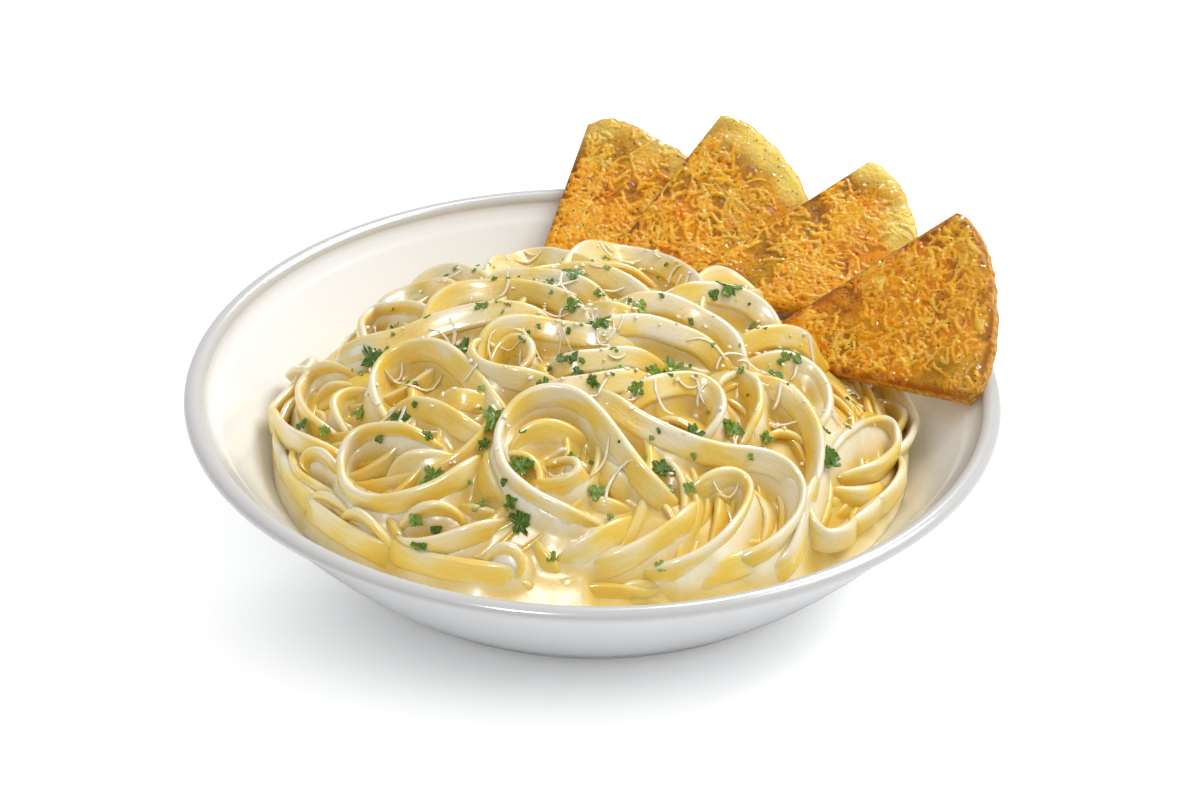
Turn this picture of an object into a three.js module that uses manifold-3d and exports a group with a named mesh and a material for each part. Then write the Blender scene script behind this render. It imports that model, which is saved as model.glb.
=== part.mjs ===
// Fettuccine alfredo in a round white bowl, with four flatbread wedges leaning on the far rim.
// Millimetres, +Z up, origin at the centre of the bowl's flat base; the breads stand towards +Y.
import * as THREE from 'three';
import { mergeVertices } from 'three/addons/utils/BufferGeometryUtils.js';
import Module from 'manifold-3d';

const wasm = await Module();
wasm.setup();

// ---- driving dimensions ----

const bowl = {
  rimRadius: 135,      // outside of the lip
  height: 52,
  footRadius: 82.8,    // where the outer curve meets the table, before its edge is rounded
  curve: 1.32,         // the wall rises as (share of the way out) ^ curve
  wall: 4.6,
  floor: 5.5,
  lipWidth: 6.4,
  lipHeight: 2.6,      // half the height of the rounded lip
  footLift: 2.2,       // the rounded edge of the foot ends at this height
  segments: 48,
};

const heap = {
  radius: 110,         // where the pasta meets the inner wall
  crown: 78,
  farEdge: 27,         // height at which it meets the wall behind
  nearEdge: 34,        // and in front
  tiltDepth: 70,       // the edge falls from one to the other between these depths
  power: 2.5,
  coreDrop: 5.2,       // the bare core lies this far under the tops of the noodles
  coreRings: 6,
  coreSegments: 24,    // half the bowl's, so that its corners face the bowl's
};

const noodle = {
  width: 8.5,
  thickness: 2.8,
  step: 2.5,           // spacing of the samples on which a noodle is laid
  ease: 14,            // a bend runs into the next over this length
  facetLength: 22,     // a facet of the solid is this long where the noodle runs straight
  facetTurn: 34,       // and turns this much where it bends
  sink: 1.2,           // a noodle settles this far into the one below
  stiffRadius: 26,     // tightest arch a noodle makes over another
  maxRise: 2.4,
  upright: 0.75,       // share of the plumb line, not the heap's slope, in what stands up
  dive: 8,             // the ends run down between their neighbours
  diveLength: 15,
  wallRoom: 1.2,
};

const flatbread = {
  angle: 45,           // a round cut in eighths
  thickness: 6.5,
  cornerRounding: 4.5,
  edgeDrop: 1.5,       // the face falls this much at its edges
  crag: 0.75,          // height of the baked cheese relief
  rows: 12,
  columns: 10,
  shreds: 6,
};

const gap = 0.35;      // left between neighbouring pieces
const weld = 1e-3;     // corners closer than this are one

// Each wedge's face is a plane that leans outwards: facing is the compass angle it leans towards,
// lean its angle from upright, distance how far out it passes the rim's level. tip is where the
// wedge's point lies on that plane (right, up the slope), and turn how far the wedge's middle line
// is turned clockwise from straight up the slope. The round of 185 mm isn't cut quite through its
// centre, so one radius is longer. blunt is how much of the point is missing.
const wedges = [
  {
    name: 'flatbread_1', facing: 76.6, lean: 54.6, distance: 112.2,
    tip: [-47, -51.9], turn: 28.9, radius: 92.5, blunt: 18,
  },
  {
    name: 'flatbread_2', facing: 83.8, lean: 48.4, distance: 99,
    tip: [-17.2, -26.6], turn: 54.6, radius: 92.5, blunt: 6,
  },
  {
    name: 'flatbread_3', facing: 70.4, lean: 60.3, distance: 82.5,
    tip: [-1.7, -12], turn: 62, radius: 92.5, blunt: 6,
  },
  {
    name: 'flatbread_4', facing: 49.2, lean: 47.2, distance: 73,
    tip: [9.8, -17.3], turn: 56.4, radius: 95, blunt: 6,
  },
];

// Where the noodles are seen from when they are placed: a window 1200 wide and 800 high, in whose
// units the eye is lens away from it.
const viewer = {
  target: [2.47, 0, 44.04], distance: 1200, elevation: 31.74, roll: -0.868, middle: [600, 400], lens: 3610,
};

// The noodles that lie on top, in the order in which they are laid. seen holds the places in the
// viewer's window that a noodle passes, tilts the angle between its flat and the heap at its start,
// middle and end (90 standing on edge, its left edge raised), and top its height over the heap.
const laidNoodles = [
  // along the left rim
  { seen: [[263, 420], [264, 440], [273, 462], [284, 482], [297, 500]], tilts: [60, 65, 60], top: -2 },
  { seen: [[290, 500], [310, 522], [335, 542], [365, 558]], tilts: [55, 60, 60], top: -2.5 },
  // small rings at the left front
  {
    seen: [[345, 500], [336, 485], [331, 471], [319, 464], [306, 467], [300, 478], [300, 495]],
    tilts: [80, 80, 80], top: 0,
  },
  {
    seen: [[391, 564], [381, 549], [370, 532], [354, 522], [338, 530], [335, 545]],
    tilts: [80, 80, 80], top: 0,
  },
  // upper left
  { seen: [[315, 355], [333, 350], [352, 343], [372, 334]], tilts: [25, 30, 40], top: -1.5 },
  {
    seen: [[445, 321], [421, 317], [396, 317], [377, 322], [362, 334], [355, 352]],
    tilts: [82, 80, 80], top: 0,
  },
  {
    seen: [[360, 330], [374, 313], [393, 302], [418, 296], [449, 294], [470, 297]],
    tilts: [60, 66, 60], top: 0,
  },
  {
    seen: [
      [420, 331], [434, 314], [458, 300], [486, 294], [515, 292], [540, 295], [563, 303], [581, 318],
      [588, 332],
    ],
    tilts: [60, 60, 40], top: 0.8,
  },
  // left loop
  {
    seen: [[352, 377], [333, 376], [314, 384], [303, 396], [299, 411], [303, 425], [314, 436], [332, 446]],
    tilts: [82, 82, 60], top: 0,
  },
  {
    seen: [[325, 379], [300, 384], [280, 394], [271, 412], [277, 432], [290, 446], [311, 455], [334, 461]],
    tilts: [70, 70, 50], top: 0.8,
  },
  {
    seen: [
      [318, 375], [340, 366], [362, 357], [390, 345], [418, 334], [443, 324], [470, 316], [500, 312],
      [531, 313], [560, 318],
    ],
    tilts: [40, 45, 40], top: 0.5,
  },
  {
    seen: [[378, 428], [390, 414], [415, 409], [440, 417], [462, 430], [490, 436]],
    tilts: [70, 35, 40], top: 0,
  },
  {
    seen: [
      [383, 425], [374, 408], [373, 388], [383, 368], [405, 355], [432, 352], [452, 363], [470, 381],
      [484, 400], [500, 416],
    ],
    tilts: [75, 70, 25], top: 0.8,
  },
  // top
  {
    seen: [[482, 286], [500, 271], [520, 261], [540, 258], [565, 262], [590, 268], [612, 278]],
    tilts: [50, 50, 45], top: 0.3,
  },
  {
    seen: [[560, 268], [585, 260], [612, 255], [640, 259], [668, 268], [690, 281], [702, 297], [700, 312]],
    tilts: [50, 55, 70], top: 0.6,
  },
  {
    seen: [[462, 300], [485, 290], [512, 286], [545, 286], [575, 290], [600, 300], [612, 313]],
    tilts: [50, 60, 50], top: 0.3,
  },
  {
    seen: [[500, 352], [485, 345], [471, 352], [468, 367], [481, 379], [505, 385], [535, 385], [565, 380]],
    tilts: [80, 80, 50], top: 0.3,
  },
  {
    seen: [
      [478, 362], [484, 347], [496, 336], [518, 331], [545, 331], [575, 335], [603, 340], [628, 335],
      [648, 325],
    ],
    tilts: [70, 45, 35], top: 0.8,
  },
  {
    seen: [[520, 396], [548, 391], [578, 389], [610, 384], [640, 378], [668, 376]],
    tilts: [35, 30, 40], top: 0.2,
  },
  {
    seen: [[570, 345], [600, 335], [630, 331], [660, 333], [690, 340], [718, 352], [735, 366]],
    tilts: [40, 40, 50], top: 0.4,
  },
  {
    seen: [[600, 312], [630, 308], [662, 309], [694, 317], [720, 331], [738, 350], [748, 374]],
    tilts: [45, 50, 60], top: 0.8,
  },
  // back right
  {
    seen: [[815, 328], [843, 326], [865, 335], [879, 353], [885, 374], [878, 393]],
    tilts: [70, 74, 76], top: 0.6,
  },
  {
    seen: [[700, 276], [725, 277], [750, 280], [776, 287], [800, 301], [817, 320], [823, 342], [818, 362]],
    tilts: [45, 60, 75], top: 1,
  },
  {
    seen: [[655, 300], [690, 298], [722, 301], [750, 309], [775, 324], [792, 342]],
    tilts: [45, 55, 60], top: 1,
  },
  // far right
  {
    seen: [[852, 392], [862, 383], [882, 379], [903, 391], [917, 414], [918, 440], [908, 462], [893, 476]],
    tilts: [78, 76, 76], top: 0.8,
  },
  {
    seen: [[735, 338], [765, 338], [795, 343], [825, 353], [850, 369], [864, 390], [865, 413], [854, 432]],
    tilts: [40, 60, 76], top: 1,
  },
  {
    seen: [[745, 378], [765, 386], [788, 402], [806, 426], [816, 453], [817, 480], [810, 505], [803, 520]],
    tilts: [50, 62, 72], top: 1,
  },
  {
    seen: [[612, 408], [635, 398], [663, 388], [695, 383], [714, 393], [721, 414], [711, 433], [695, 445]],
    tilts: [35, 45, 76], top: 0.6,
  },
  // right, by the wall
  { seen: [[897, 500], [880, 522], [850, 545], [815, 563], [780, 577]], tilts: [112, 112, 112], top: -2 },
  {
    seen: [
      [843, 484], [866, 482], [888, 470], [897, 449], [888, 434], [868, 432], [848, 441], [832, 455],
      [818, 476],
    ],
    tilts: [80, 82, 60], top: 0.8,
  },
  {
    seen: [[815, 498], [808, 520], [811, 540], [827, 551], [845, 546], [860, 534], [866, 518]],
    tilts: [80, 80, 80], top: 0.5,
  },
  // curled end in the nest
  {
    seen: [[543, 464], [562, 462], [579, 468], [586, 480], [577, 492], [557, 496], [536, 492], [522, 482]],
    tilts: [110, 112, 112], top: 0.3,
  },
  // front left ring
  {
    seen: [
      [440, 452], [424, 445], [405, 439], [380, 437], [358, 444], [345, 460], [341, 482], [348, 502],
      [367, 512], [393, 513], [421, 504], [449, 491], [470, 472], [481, 455],
    ],
    tilts: [82, 82, 70], top: 1,
  },
  // front
  { seen: [[372, 548], [392, 563], [430, 575], [470, 582], [505, 586]], tilts: [60, 60, 60], top: -1 },
  {
    seen: [[385, 540], [395, 552], [412, 557], [436, 555], [464, 545], [492, 533], [516, 524]],
    tilts: [78, 72, 66], top: 0.8,
  },
  { seen: [[600, 590], [640, 592], [680, 590], [720, 583], [760, 570]], tilts: [60, 60, 60], top: -1.5 },
  {
    seen: [[575, 578], [597, 573], [622, 565], [647, 554], [671, 538], [694, 518], [712, 500]],
    tilts: [50, 48, 48], top: 0.6,
  },
  {
    seen: [
      [684, 514], [658, 501], [638, 482], [620, 457], [604, 434], [588, 414], [566, 402], [539, 403],
      [517, 413], [502, 432], [498, 455], [502, 476], [516, 495], [541, 511], [570, 526], [604, 537],
    ],
    tilts: [132, 100, 66], top: 1,
  },
  {
    seen: [
      [690, 505], [703, 492], [718, 484], [735, 481], [748, 488], [751, 505], [741, 527], [721, 551],
      [696, 570], [668, 581], [640, 586],
    ],
    tilts: [60, 84, 112], top: 1,
  },
  {
    seen: [
      [585, 388], [607, 405], [632, 421], [658, 435], [686, 448], [717, 457], [745, 461], [770, 468],
      [788, 480], [798, 498], [798, 518], [787, 538], [769, 556], [748, 567], [725, 573],
    ],
    tilts: [40, 50, 114], top: 1.2,
  },
];

// Noodles that run round the far side of the heap, one inside the other.
const farArcs = {
  count: 5, seed: 12, outer: 95, spacing: 14, top: -1.8,
  bearings: [52, 84], sweeps: [80, 118], tilts: [16, 44],
};
const tucked = {
  count: 3, tries: 60, reach: 98, seed: 41, lengths: [58, 92], radii: [34, 80], top: -2.6, covered: 0.45,
};
// The largest leaves and where they lie, each on the most even spot nearby.
const parsley = {
  places: [
    [-73, 0], [-29, 10], [-7, 24], [11, 12], [2, -9], [-44, -3], [-8, -26], [26, -18], [65, -4], [45, 24],
    [-62, -38], [-31, -48], [-50, -62], [-22, -66], [-21, -88], [32, -53], [45, -47], [76, -47],
  ],
  seed: 7, sizes: [6.5, 9.5], thickness: 0.7, wave: 0.45, notch: 0.42, lift: 0.15, nearby: 4,
};
const shreds = {
  count: 7, seed: 19, lengths: [9, 17], width: 1.7, thickness: 1, middle: [2, -4], spread: 70,
};

// ---- small tools ----

const radians = THREE.MathUtils.degToRad;
const Z = new THREE.Vector3(0, 0, 1);

function seeded(seed) {
  let state = seed >>> 0;
  return () => {
    state = (state + 0x6d2b79f5) >>> 0;
    let t = state;
    t = Math.imul(t ^ (t >>> 15), t | 1);
    t ^= t + Math.imul(t ^ (t >>> 7), t | 61);
    return ((t ^ (t >>> 14)) >>> 0) / 4294967296;
  };
}

const between = (random, [low, high]) => low + (high - low) * random();

// Smooth lattice noise from -1 to 1.
function waver(x, y, seed) {
  const corner = (i, j) => {
    const value = Math.sin(i * 127.1 + j * 311.7 + seed * 74.7) * 43758.5453;
    return (value - Math.floor(value)) * 2 - 1;
  };
  const i = Math.floor(x);
  const j = Math.floor(y);
  const u = (x - i) ** 2 * (3 - 2 * (x - i));
  const v = (y - j) ** 2 * (3 - 2 * (y - j));
  const low = corner(i, j) * (1 - u) + corner(i + 1, j) * u;
  const high = corner(i, j + 1) * (1 - u) + corner(i + 1, j + 1) * u;
  return low * (1 - v) + high * v;
}

// Closed mesh of points and triangles, as a solid for joining and cutting.
function toSolid(geometry, tolerance = weld / 10) {
  geometry.deleteAttribute('normal');
  geometry.deleteAttribute('uv');
  const merged = mergeVertices(geometry, tolerance);
  const corners = merged.index.array;
  const kept = [];
  for (let i = 0; i < corners.length; i += 3) {
    const [a, b, c] = [corners[i], corners[i + 1], corners[i + 2]];
    if (a !== b && b !== c && c !== a) kept.push(a, b, c);
  }
  return new wasm.Manifold(new wasm.Mesh({
    numProp: 3,
    vertProperties: new Float32Array(merged.attributes.position.array),
    triVerts: new Uint32Array(kept),
  }));
}

function fromLists(points, triangles) {
  const geometry = new THREE.BufferGeometry();
  const positions = points.flatMap((p) => [p.x, p.y, p.z]);
  geometry.setAttribute('position', new THREE.Float32BufferAttribute(positions, 3));
  geometry.setIndex(triangles);
  return toSolid(geometry);
}

// The same, turned inside out if its faces point inwards.
function outwards(points, triangles) {
  const solid = fromLists(points, triangles);
  if (solid.volume() > 0) return solid;
  const flipped = [];
  for (let i = 0; i < triangles.length; i += 3) {
    flipped.push(triangles[i], triangles[i + 2], triangles[i + 1]);
  }
  return fromLists(points, flipped);
}

function toGeometry(solid) {
  const mesh = solid.getMesh();
  const geometry = new THREE.BufferGeometry();
  geometry.setAttribute('position', new THREE.BufferAttribute(new Float32Array(mesh.vertProperties), 3));
  geometry.setIndex(new THREE.BufferAttribute(new Uint32Array(mesh.triVerts), 1));
  geometry.computeVertexNormals();
  return geometry;
}

function turned(profile, segments) {
  const geometry = new THREE.LatheGeometry(profile.map(([r, z]) => new THREE.Vector2(r, z)), segments);
  geometry.rotateX(Math.PI / 2);
  return toSolid(geometry);
}

// A ring of section points carried along frames, closed at both ends.
function sweptSolid(frames, section) {
  const points = [];
  const triangles = [];
  const n = section.length;
  for (const { origin, side, face } of frames) {
    for (const [across, up] of section) {
      points.push(origin.clone().addScaledVector(side, across).addScaledVector(face, up));
    }
  }
  for (let ring = 0; ring + 1 < frames.length; ring++) {
    for (let k = 0; k < n; k++) {
      const a = ring * n + k;
      const b = ring * n + ((k + 1) % n);
      triangles.push(a, a + n, b, b, a + n, b + n);
    }
  }
  const last = (frames.length - 1) * n;
  for (let k = 1; k + 1 < n; k++) {
    triangles.push(0, k, k + 1);
    triangles.push(last, last + k + 1, last + k);
  }
  return fromLists(points, triangles);
}

// The largest body of a solid: sealed hollows are filled and loose scraps dropped. Corners that
// all but touch are merged first, because that can part a scrap from the rest.
function oneBody(solid) {
  let body = solid;
  for (let round = 0; round < 6; round++) {
    const bodies = toSolid(toGeometry(body), weld).decompose();
    body = bodies.reduce((best, other) => (other.volume() > best.volume() ? other : best));
    if (bodies.length === 1) break;
  }
  return body;
}

// ---- bowl ----

const outerRadius = (z) => bowl.footRadius
  + (bowl.rimRadius - bowl.footRadius) * Math.pow(Math.max(z, 0) / bowl.height, 1 / bowl.curve);

// The inner wall runs parallel to the outer one, one wall thickness in.
function innerRadius(z) {
  const slope = outerRadius(z + 0.5) - outerRadius(Math.max(z - 0.5, 0.2));
  return outerRadius(z) - bowl.wall * Math.hypot(1, Math.min(slope, 1.6));
}

const hollow = { lowestWall: 11, floorRadius: innerRadius(11) - 9, floorEdge: bowl.floor + 0.7 };

function bowlSolid() {
  const profile = [[0, 0], [bowl.footRadius - 2, 0], [outerRadius(bowl.footLift) + 1.2, bowl.footLift]];
  for (const z of [6, 12, 20, 30, 42]) profile.push([outerRadius(z), z]);
  const lipRadius = bowl.lipWidth / 2;
  const lipSteps = 4;
  for (let k = 0; k <= lipSteps; k++) {
    const turn = Math.PI * (k / lipSteps);
    profile.push([
      bowl.rimRadius - lipRadius + lipRadius * Math.cos(turn),
      bowl.height - bowl.lipHeight + bowl.lipHeight * Math.sin(turn),
    ]);
  }
  for (const z of [40, 29, 19, hollow.lowestWall]) profile.push([innerRadius(z), z]);
  profile.push([hollow.floorRadius, hollow.floorEdge], [0, bowl.floor]);
  return turned(profile, bowl.segments);
}

// ---- flatbread wedges ----

function wedgeFrame(wedge) {
  const facing = radians(wedge.facing);
  const lean = radians(wedge.lean);
  const outward = new THREE.Vector3(Math.cos(facing), Math.sin(facing), 0);
  const right = new THREE.Vector3(Math.sin(facing), -Math.cos(facing), 0);
  const slope = outward.clone().multiplyScalar(Math.sin(lean)).addScaledVector(Z, Math.cos(lean));
  const normal = new THREE.Vector3().crossVectors(right, slope);
  const origin = outward.clone().multiplyScalar(wedge.distance).addScaledVector(Z, bowl.height)
    .addScaledVector(right, wedge.tip[0]).addScaledVector(slope, wedge.tip[1]);
  return { origin, right, slope, normal };
}

// A point of a wedge: distance from its tip, angle from its middle line, height over its face.
function wedgePoint(wedge, frame, reach, angle, height) {
  const bearing = radians(wedge.turn) + angle;
  return frame.origin.clone()
    .addScaledVector(frame.right, reach * Math.sin(bearing))
    .addScaledVector(frame.slope, reach * Math.cos(bearing))
    .addScaledVector(frame.normal, height);
}

const halfAngle = radians(flatbread.angle / 2);

// The baked edge wanders a little and its two corners are rounded.
function crustReach(wedge, share, seed) {
  const rounding = flatbread.cornerRounding * Math.pow(Math.abs(share), 7);
  return wedge.radius - rounding + 0.9 * waver(share * 4, 0.5, seed);
}

function wedgeRelief(reach, share, toEdge, seed) {
  const across = reach * share * halfAngle;
  const crags = 0.6 * waver(reach / 7, across / 7, seed) + 0.4 * waver(reach / 3.1, across / 3.1, seed + 5);
  const edge = flatbread.edgeDrop * Math.exp(-toEdge / 1.6);
  return flatbread.crag * crags * (1 - Math.exp(-toEdge / 2)) - edge;
}

function wedgeSolid(wedge, seed) {
  const frame = wedgeFrame(wedge);
  const { rows, columns, thickness } = flatbread;
  const points = [];
  const triangles = [];
  const spaced = (i, count, margin) => {
    const t = i / (count - 1);
    if (i === 0 || i === count - 1) return t;
    return margin + (1 - 2 * margin) * ((i - 1) / (count - 3));
  };
  for (let row = 0; row < rows; row++) {
    for (let column = 0; column < columns; column++) {
      const share = spaced(column, columns, 0.04) * 2 - 1;
      const far = crustReach(wedge, share, seed);
      const near = wedge.blunt * (1 + 0.3 * Math.abs(share) ** 3);
      const reach = near + (far - near) * spaced(row, rows, 0.02);
      const toSide = reach * Math.sin(halfAngle * (1 - Math.abs(share)));
      const toEdge = Math.min(toSide, far - reach, reach - near);
      const height = wedgeRelief(reach, share, toEdge, seed);
      points.push(wedgePoint(wedge, frame, reach, share * halfAngle, height));
    }
  }
  for (let row = 0; row + 1 < rows; row++) {
    for (let column = 0; column + 1 < columns; column++) {
      const a = row * columns + column;
      triangles.push(a, a + 1, a + columns, a + 1, a + columns + 1, a + columns);
    }
  }
  const loop = [];
  for (let column = 0; column < columns; column++) loop.push(column);
  for (let row = 1; row < rows; row++) loop.push(row * columns + columns - 1);
  for (let column = columns - 2; column >= 0; column--) loop.push((rows - 1) * columns + column);
  for (let row = rows - 2; row > 0; row--) loop.push(row * columns);
  const below = points.length;
  const outline = [];
  for (const index of loop) {
    const local = points[index].clone().sub(frame.origin);
    const height = local.dot(frame.normal);
    points.push(points[index].clone().addScaledVector(frame.normal, -thickness - height));
    outline.push(new THREE.Vector2(local.dot(frame.right), local.dot(frame.slope)));
  }
  for (let k = 0; k < loop.length; k++) {
    const next = (k + 1) % loop.length;
    triangles.push(loop[k], below + k, loop[next], loop[next], below + k, below + next);
  }
  const counterclockwise = THREE.ShapeUtils.area(outline) > 0;
  for (const [a, b, c] of THREE.ShapeUtils.triangulateShape(outline, [])) {
    const [second, third] = counterclockwise ? [c, b] : [b, c];
    triangles.push(below + a, below + second, below + third);
  }
  const random = seeded(300 + seed);
  let solid = outwards(points, triangles);
  for (let k = 0; k < flatbread.shreds; k++) {
    const shred = breadShred(wedge, frame, random, seed);
    if (shred.ends.every((end) => clearOfOthers(wedge, end) > 2.5)) solid = solid.add(shred.solid);
  }
  return oneBody(solid);
}

// A melted cheese shred: a low strip baked onto the face.
function breadShred(wedge, frame, random, seed) {
  const reach = between(random, [34, wedge.radius - 14]);
  const share = between(random, [-0.7, 0.7]);
  const length = between(random, [8, 15]);
  const heading = between(random, [0, Math.PI * 2]);
  const height = wedgeRelief(reach, share, length, seed) + 0.25;
  const start = wedgePoint(wedge, frame, reach, share * halfAngle, height);
  const along = frame.right.clone().multiplyScalar(Math.cos(heading))
    .addScaledVector(frame.slope, Math.sin(heading));
  const side = new THREE.Vector3().crossVectors(frame.normal, along);
  const end = start.clone().addScaledVector(along, length);
  const frames = [start, end].map((origin) => ({ origin, side, face: frame.normal }));
  const section = [[-0.9, -0.7], [-0.5, 0.6], [0.5, 0.6], [0.9, -0.7]];
  return { ends: [start, end], solid: sweptSolid(frames, section) };
}

// The space that a wedge takes out of the heap, a little larger than the wedge.
function wedgeRoom(wedge) {
  const frame = wedgeFrame(wedge);
  const grown = 1.3;
  const relief = 1.7;
  const apex = -grown / Math.sin(halfAngle);
  const steps = 6;
  const reach = (wedge.radius + grown - apex) / Math.cos(halfAngle / steps);
  const points = [];
  for (const height of [-flatbread.thickness - gap, relief + gap]) {
    const tip = wedgePoint(wedge, frame, apex, 0, height);
    points.push(tip);
    for (let k = 0; k <= steps; k++) {
      const bearing = radians(wedge.turn) + halfAngle * (2 * k / steps - 1);
      points.push(tip.clone().addScaledVector(frame.right, reach * Math.sin(bearing))
        .addScaledVector(frame.slope, reach * Math.cos(bearing)));
    }
  }
  const n = steps + 2;
  const triangles = [];
  for (let k = 1; k + 1 < n; k++) {
    triangles.push(0, k, k + 1);
    triangles.push(n, n + k + 1, n + k);
  }
  for (let k = 0; k < n; k++) {
    const next = (k + 1) % n;
    triangles.push(k, n + k, next, next, n + k, n + next);
  }
  return outwards(points, triangles);
}

// How far a point is from a wedge, negative inside it.
function clearOfWedge(wedge, frame, point) {
  const local = point.clone().sub(frame.origin);
  const right = local.dot(frame.right);
  const up = local.dot(frame.slope);
  const height = local.dot(frame.normal);
  const reach = Math.hypot(right, up);
  let angle = Math.atan2(right, up) - radians(wedge.turn);
  angle = Math.abs(Math.atan2(Math.sin(angle), Math.cos(angle))) - halfAngle;
  const beside = angle > Math.PI / 2 ? reach : reach * Math.sin(angle);
  const flat = Math.max(reach - wedge.radius, beside);
  const deep = Math.max(height, -flatbread.thickness - height);
  return Math.hypot(Math.max(flat, 0), Math.max(deep, 0)) + Math.min(Math.max(flat, deep), 0);
}

const wedgeFrames = wedges.map(wedgeFrame);

function clearOfBreads(point) {
  return Math.min(...wedges.map((wedge, k) => clearOfWedge(wedge, wedgeFrames[k], point)));
}

function clearOfOthers(wedge, point) {
  const others = wedges.filter((other) => other !== wedge);
  return Math.min(...others.map((other) => clearOfWedge(other, wedgeFrame(other), point)));
}

// ---- the heap ----

function heapEdge(y) {
  const nearer = THREE.MathUtils.smoothstep(-y, -heap.tiltDepth, heap.tiltDepth);
  return heap.farEdge + (heap.nearEdge - heap.farEdge) * nearer;
}

function heapHeight(x, y) {
  const share = Math.min(Math.hypot(x, y) / heap.radius, 1.06);
  const edge = heapEdge(y);
  return edge + (heap.crown - edge) * (1 - Math.pow(share, heap.power));
}

function heapNormal(x, y) {
  const d = 0.5;
  return new THREE.Vector3(
    (heapHeight(x - d, y) - heapHeight(x + d, y)) / (2 * d),
    (heapHeight(x, y - d) - heapHeight(x, y + d)) / (2 * d),
    1,
  ).normalize();
}

// The bare heap under the noodles, clear of the bowl it lies in.
function coreSolid() {
  const clear = gap * 1.9;
  const { coreRings, coreSegments, coreDrop } = heap;
  const points = [new THREE.Vector3(0, 0, bowl.floor + clear)];
  const triangles = [];
  for (let k = 0; k < coreSegments; k++) {
    const bearing = 2 * Math.PI * k / coreSegments;
    const [x, y] = [Math.cos(bearing), Math.sin(bearing)];
    const place = (r, z) => points.push(new THREE.Vector3(r * x, r * y, z));
    const topEdge = heapEdge(heap.radius * y) - coreDrop;
    place(hollow.floorRadius - clear, hollow.floorEdge + clear);
    for (const z of [hollow.lowestWall, 18, topEdge]) place(innerRadius(z) - clear, z);
    const shoulder = innerRadius(topEdge) - 3;
    for (let ring = 1; ring < coreRings; ring++) {
      const r = shoulder * (1 - (ring / coreRings) ** 1.25);
      place(r, heapHeight(r * x, r * y) - coreDrop);
    }
  }
  const crown = points.length;
  points.push(new THREE.Vector3(0, 0, heap.crown - coreDrop));
  const rows = coreRings + 3;
  for (let k = 0; k < coreSegments; k++) {
    const here = 1 + k * rows;
    const next = 1 + ((k + 1) % coreSegments) * rows;
    triangles.push(0, next, here);
    for (let row = 0; row + 1 < rows; row++) {
      triangles.push(here + row, next + row, next + row + 1, here + row, next + row + 1, here + row + 1);
    }
    triangles.push(here + rows - 1, next + rows - 1, crown);
  }
  return outwards(points, triangles);
}

// Heights of what already lies on the heap, over the heap's own surface, on a square grid.
const grid = { cell: 2, size: 116 };
grid.count = Math.round(2 * grid.size / grid.cell) + 1;

function newCover() {
  return new Float64Array(grid.count * grid.count).fill(-heap.coreDrop);
}

function coverIndex(x, y) {
  const i = Math.round((x + grid.size) / grid.cell);
  const j = Math.round((y + grid.size) / grid.cell);
  if (i < 0 || j < 0 || i >= grid.count || j >= grid.count) return -1;
  return j * grid.count + i;
}

// The flat path of a noodle: bends of constant curvature, eased into each other.
function flatPath({ at, heading, bends }) {
  const length = bends.reduce((sum, [part]) => sum + part, 0);
  const count = Math.max(2, Math.round(length / noodle.step));
  const step = length / count;
  const curvature = new Array(count).fill(0);
  let done = 0;
  for (const [part, turn] of bends) {
    for (let i = 0; i < count; i++) {
      const s = (i + 0.5) * step;
      if (s >= done && s < done + part) curvature[i] = radians(turn) / part;
    }
    done += part;
  }
  const reach = Math.floor(noodle.ease / 2 / step);
  const path = [];
  let direction = radians(heading);
  let [x, y] = at;
  for (let i = 0; i <= count; i++) {
    path.push(new THREE.Vector3(x, y, 0));
    if (i === count) break;
    const window = curvature.slice(Math.max(0, i - reach), i + reach + 1);
    const bend = window.reduce((sum, value) => sum + value, 0) / window.length;
    x += step * Math.cos(direction + bend * step / 2);
    y += step * Math.sin(direction + bend * step / 2);
    direction += bend * step;
  }
  return { path, step };
}

// The viewer's axes: towards the eye, right and up in the window.
function viewerAxes() {
  const tilt = radians(viewer.elevation);
  const roll = radians(viewer.roll);
  const back = new THREE.Vector3(0, -Math.cos(tilt), Math.sin(tilt));
  const rise = new THREE.Vector3(0, Math.sin(tilt), Math.cos(tilt));
  const level = new THREE.Vector3(1, 0, 0);
  const right = level.clone().multiplyScalar(Math.cos(roll)).addScaledVector(rise, -Math.sin(roll));
  const up = rise.clone().multiplyScalar(Math.cos(roll)).addScaledVector(level, Math.sin(roll));
  return { back, right, up };
}

const axes = viewerAxes();
const eye = new THREE.Vector3(...viewer.target).addScaledVector(axes.back, viewer.distance);

// Where the sight line through a place in the window meets the heap raised by lift, or passes
// nearest to it.
function onHeap([across, down], lift) {
  const sight = axes.right.clone().multiplyScalar((across - viewer.middle[0]) / viewer.lens)
    .addScaledVector(axes.up, (viewer.middle[1] - down) / viewer.lens).sub(axes.back).normalize();
  const over = (spot) => {
    const past = Math.max(Math.hypot(spot.x, spot.y) - 1.03 * heap.radius, 0);
    return spot.z - heapHeight(spot.x, spot.y) - lift + 4 * past;
  };
  const [reach, stride] = [160, 0.5];
  let nearest = { height: Infinity };
  for (let far = -reach; far <= reach; far += stride) {
    const spot = eye.clone().addScaledVector(sight, viewer.distance + far);
    const height = over(spot);
    if (height < nearest.height) nearest = { spot, height };
    if (height < 0) break;
  }
  return nearest.spot;
}

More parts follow.
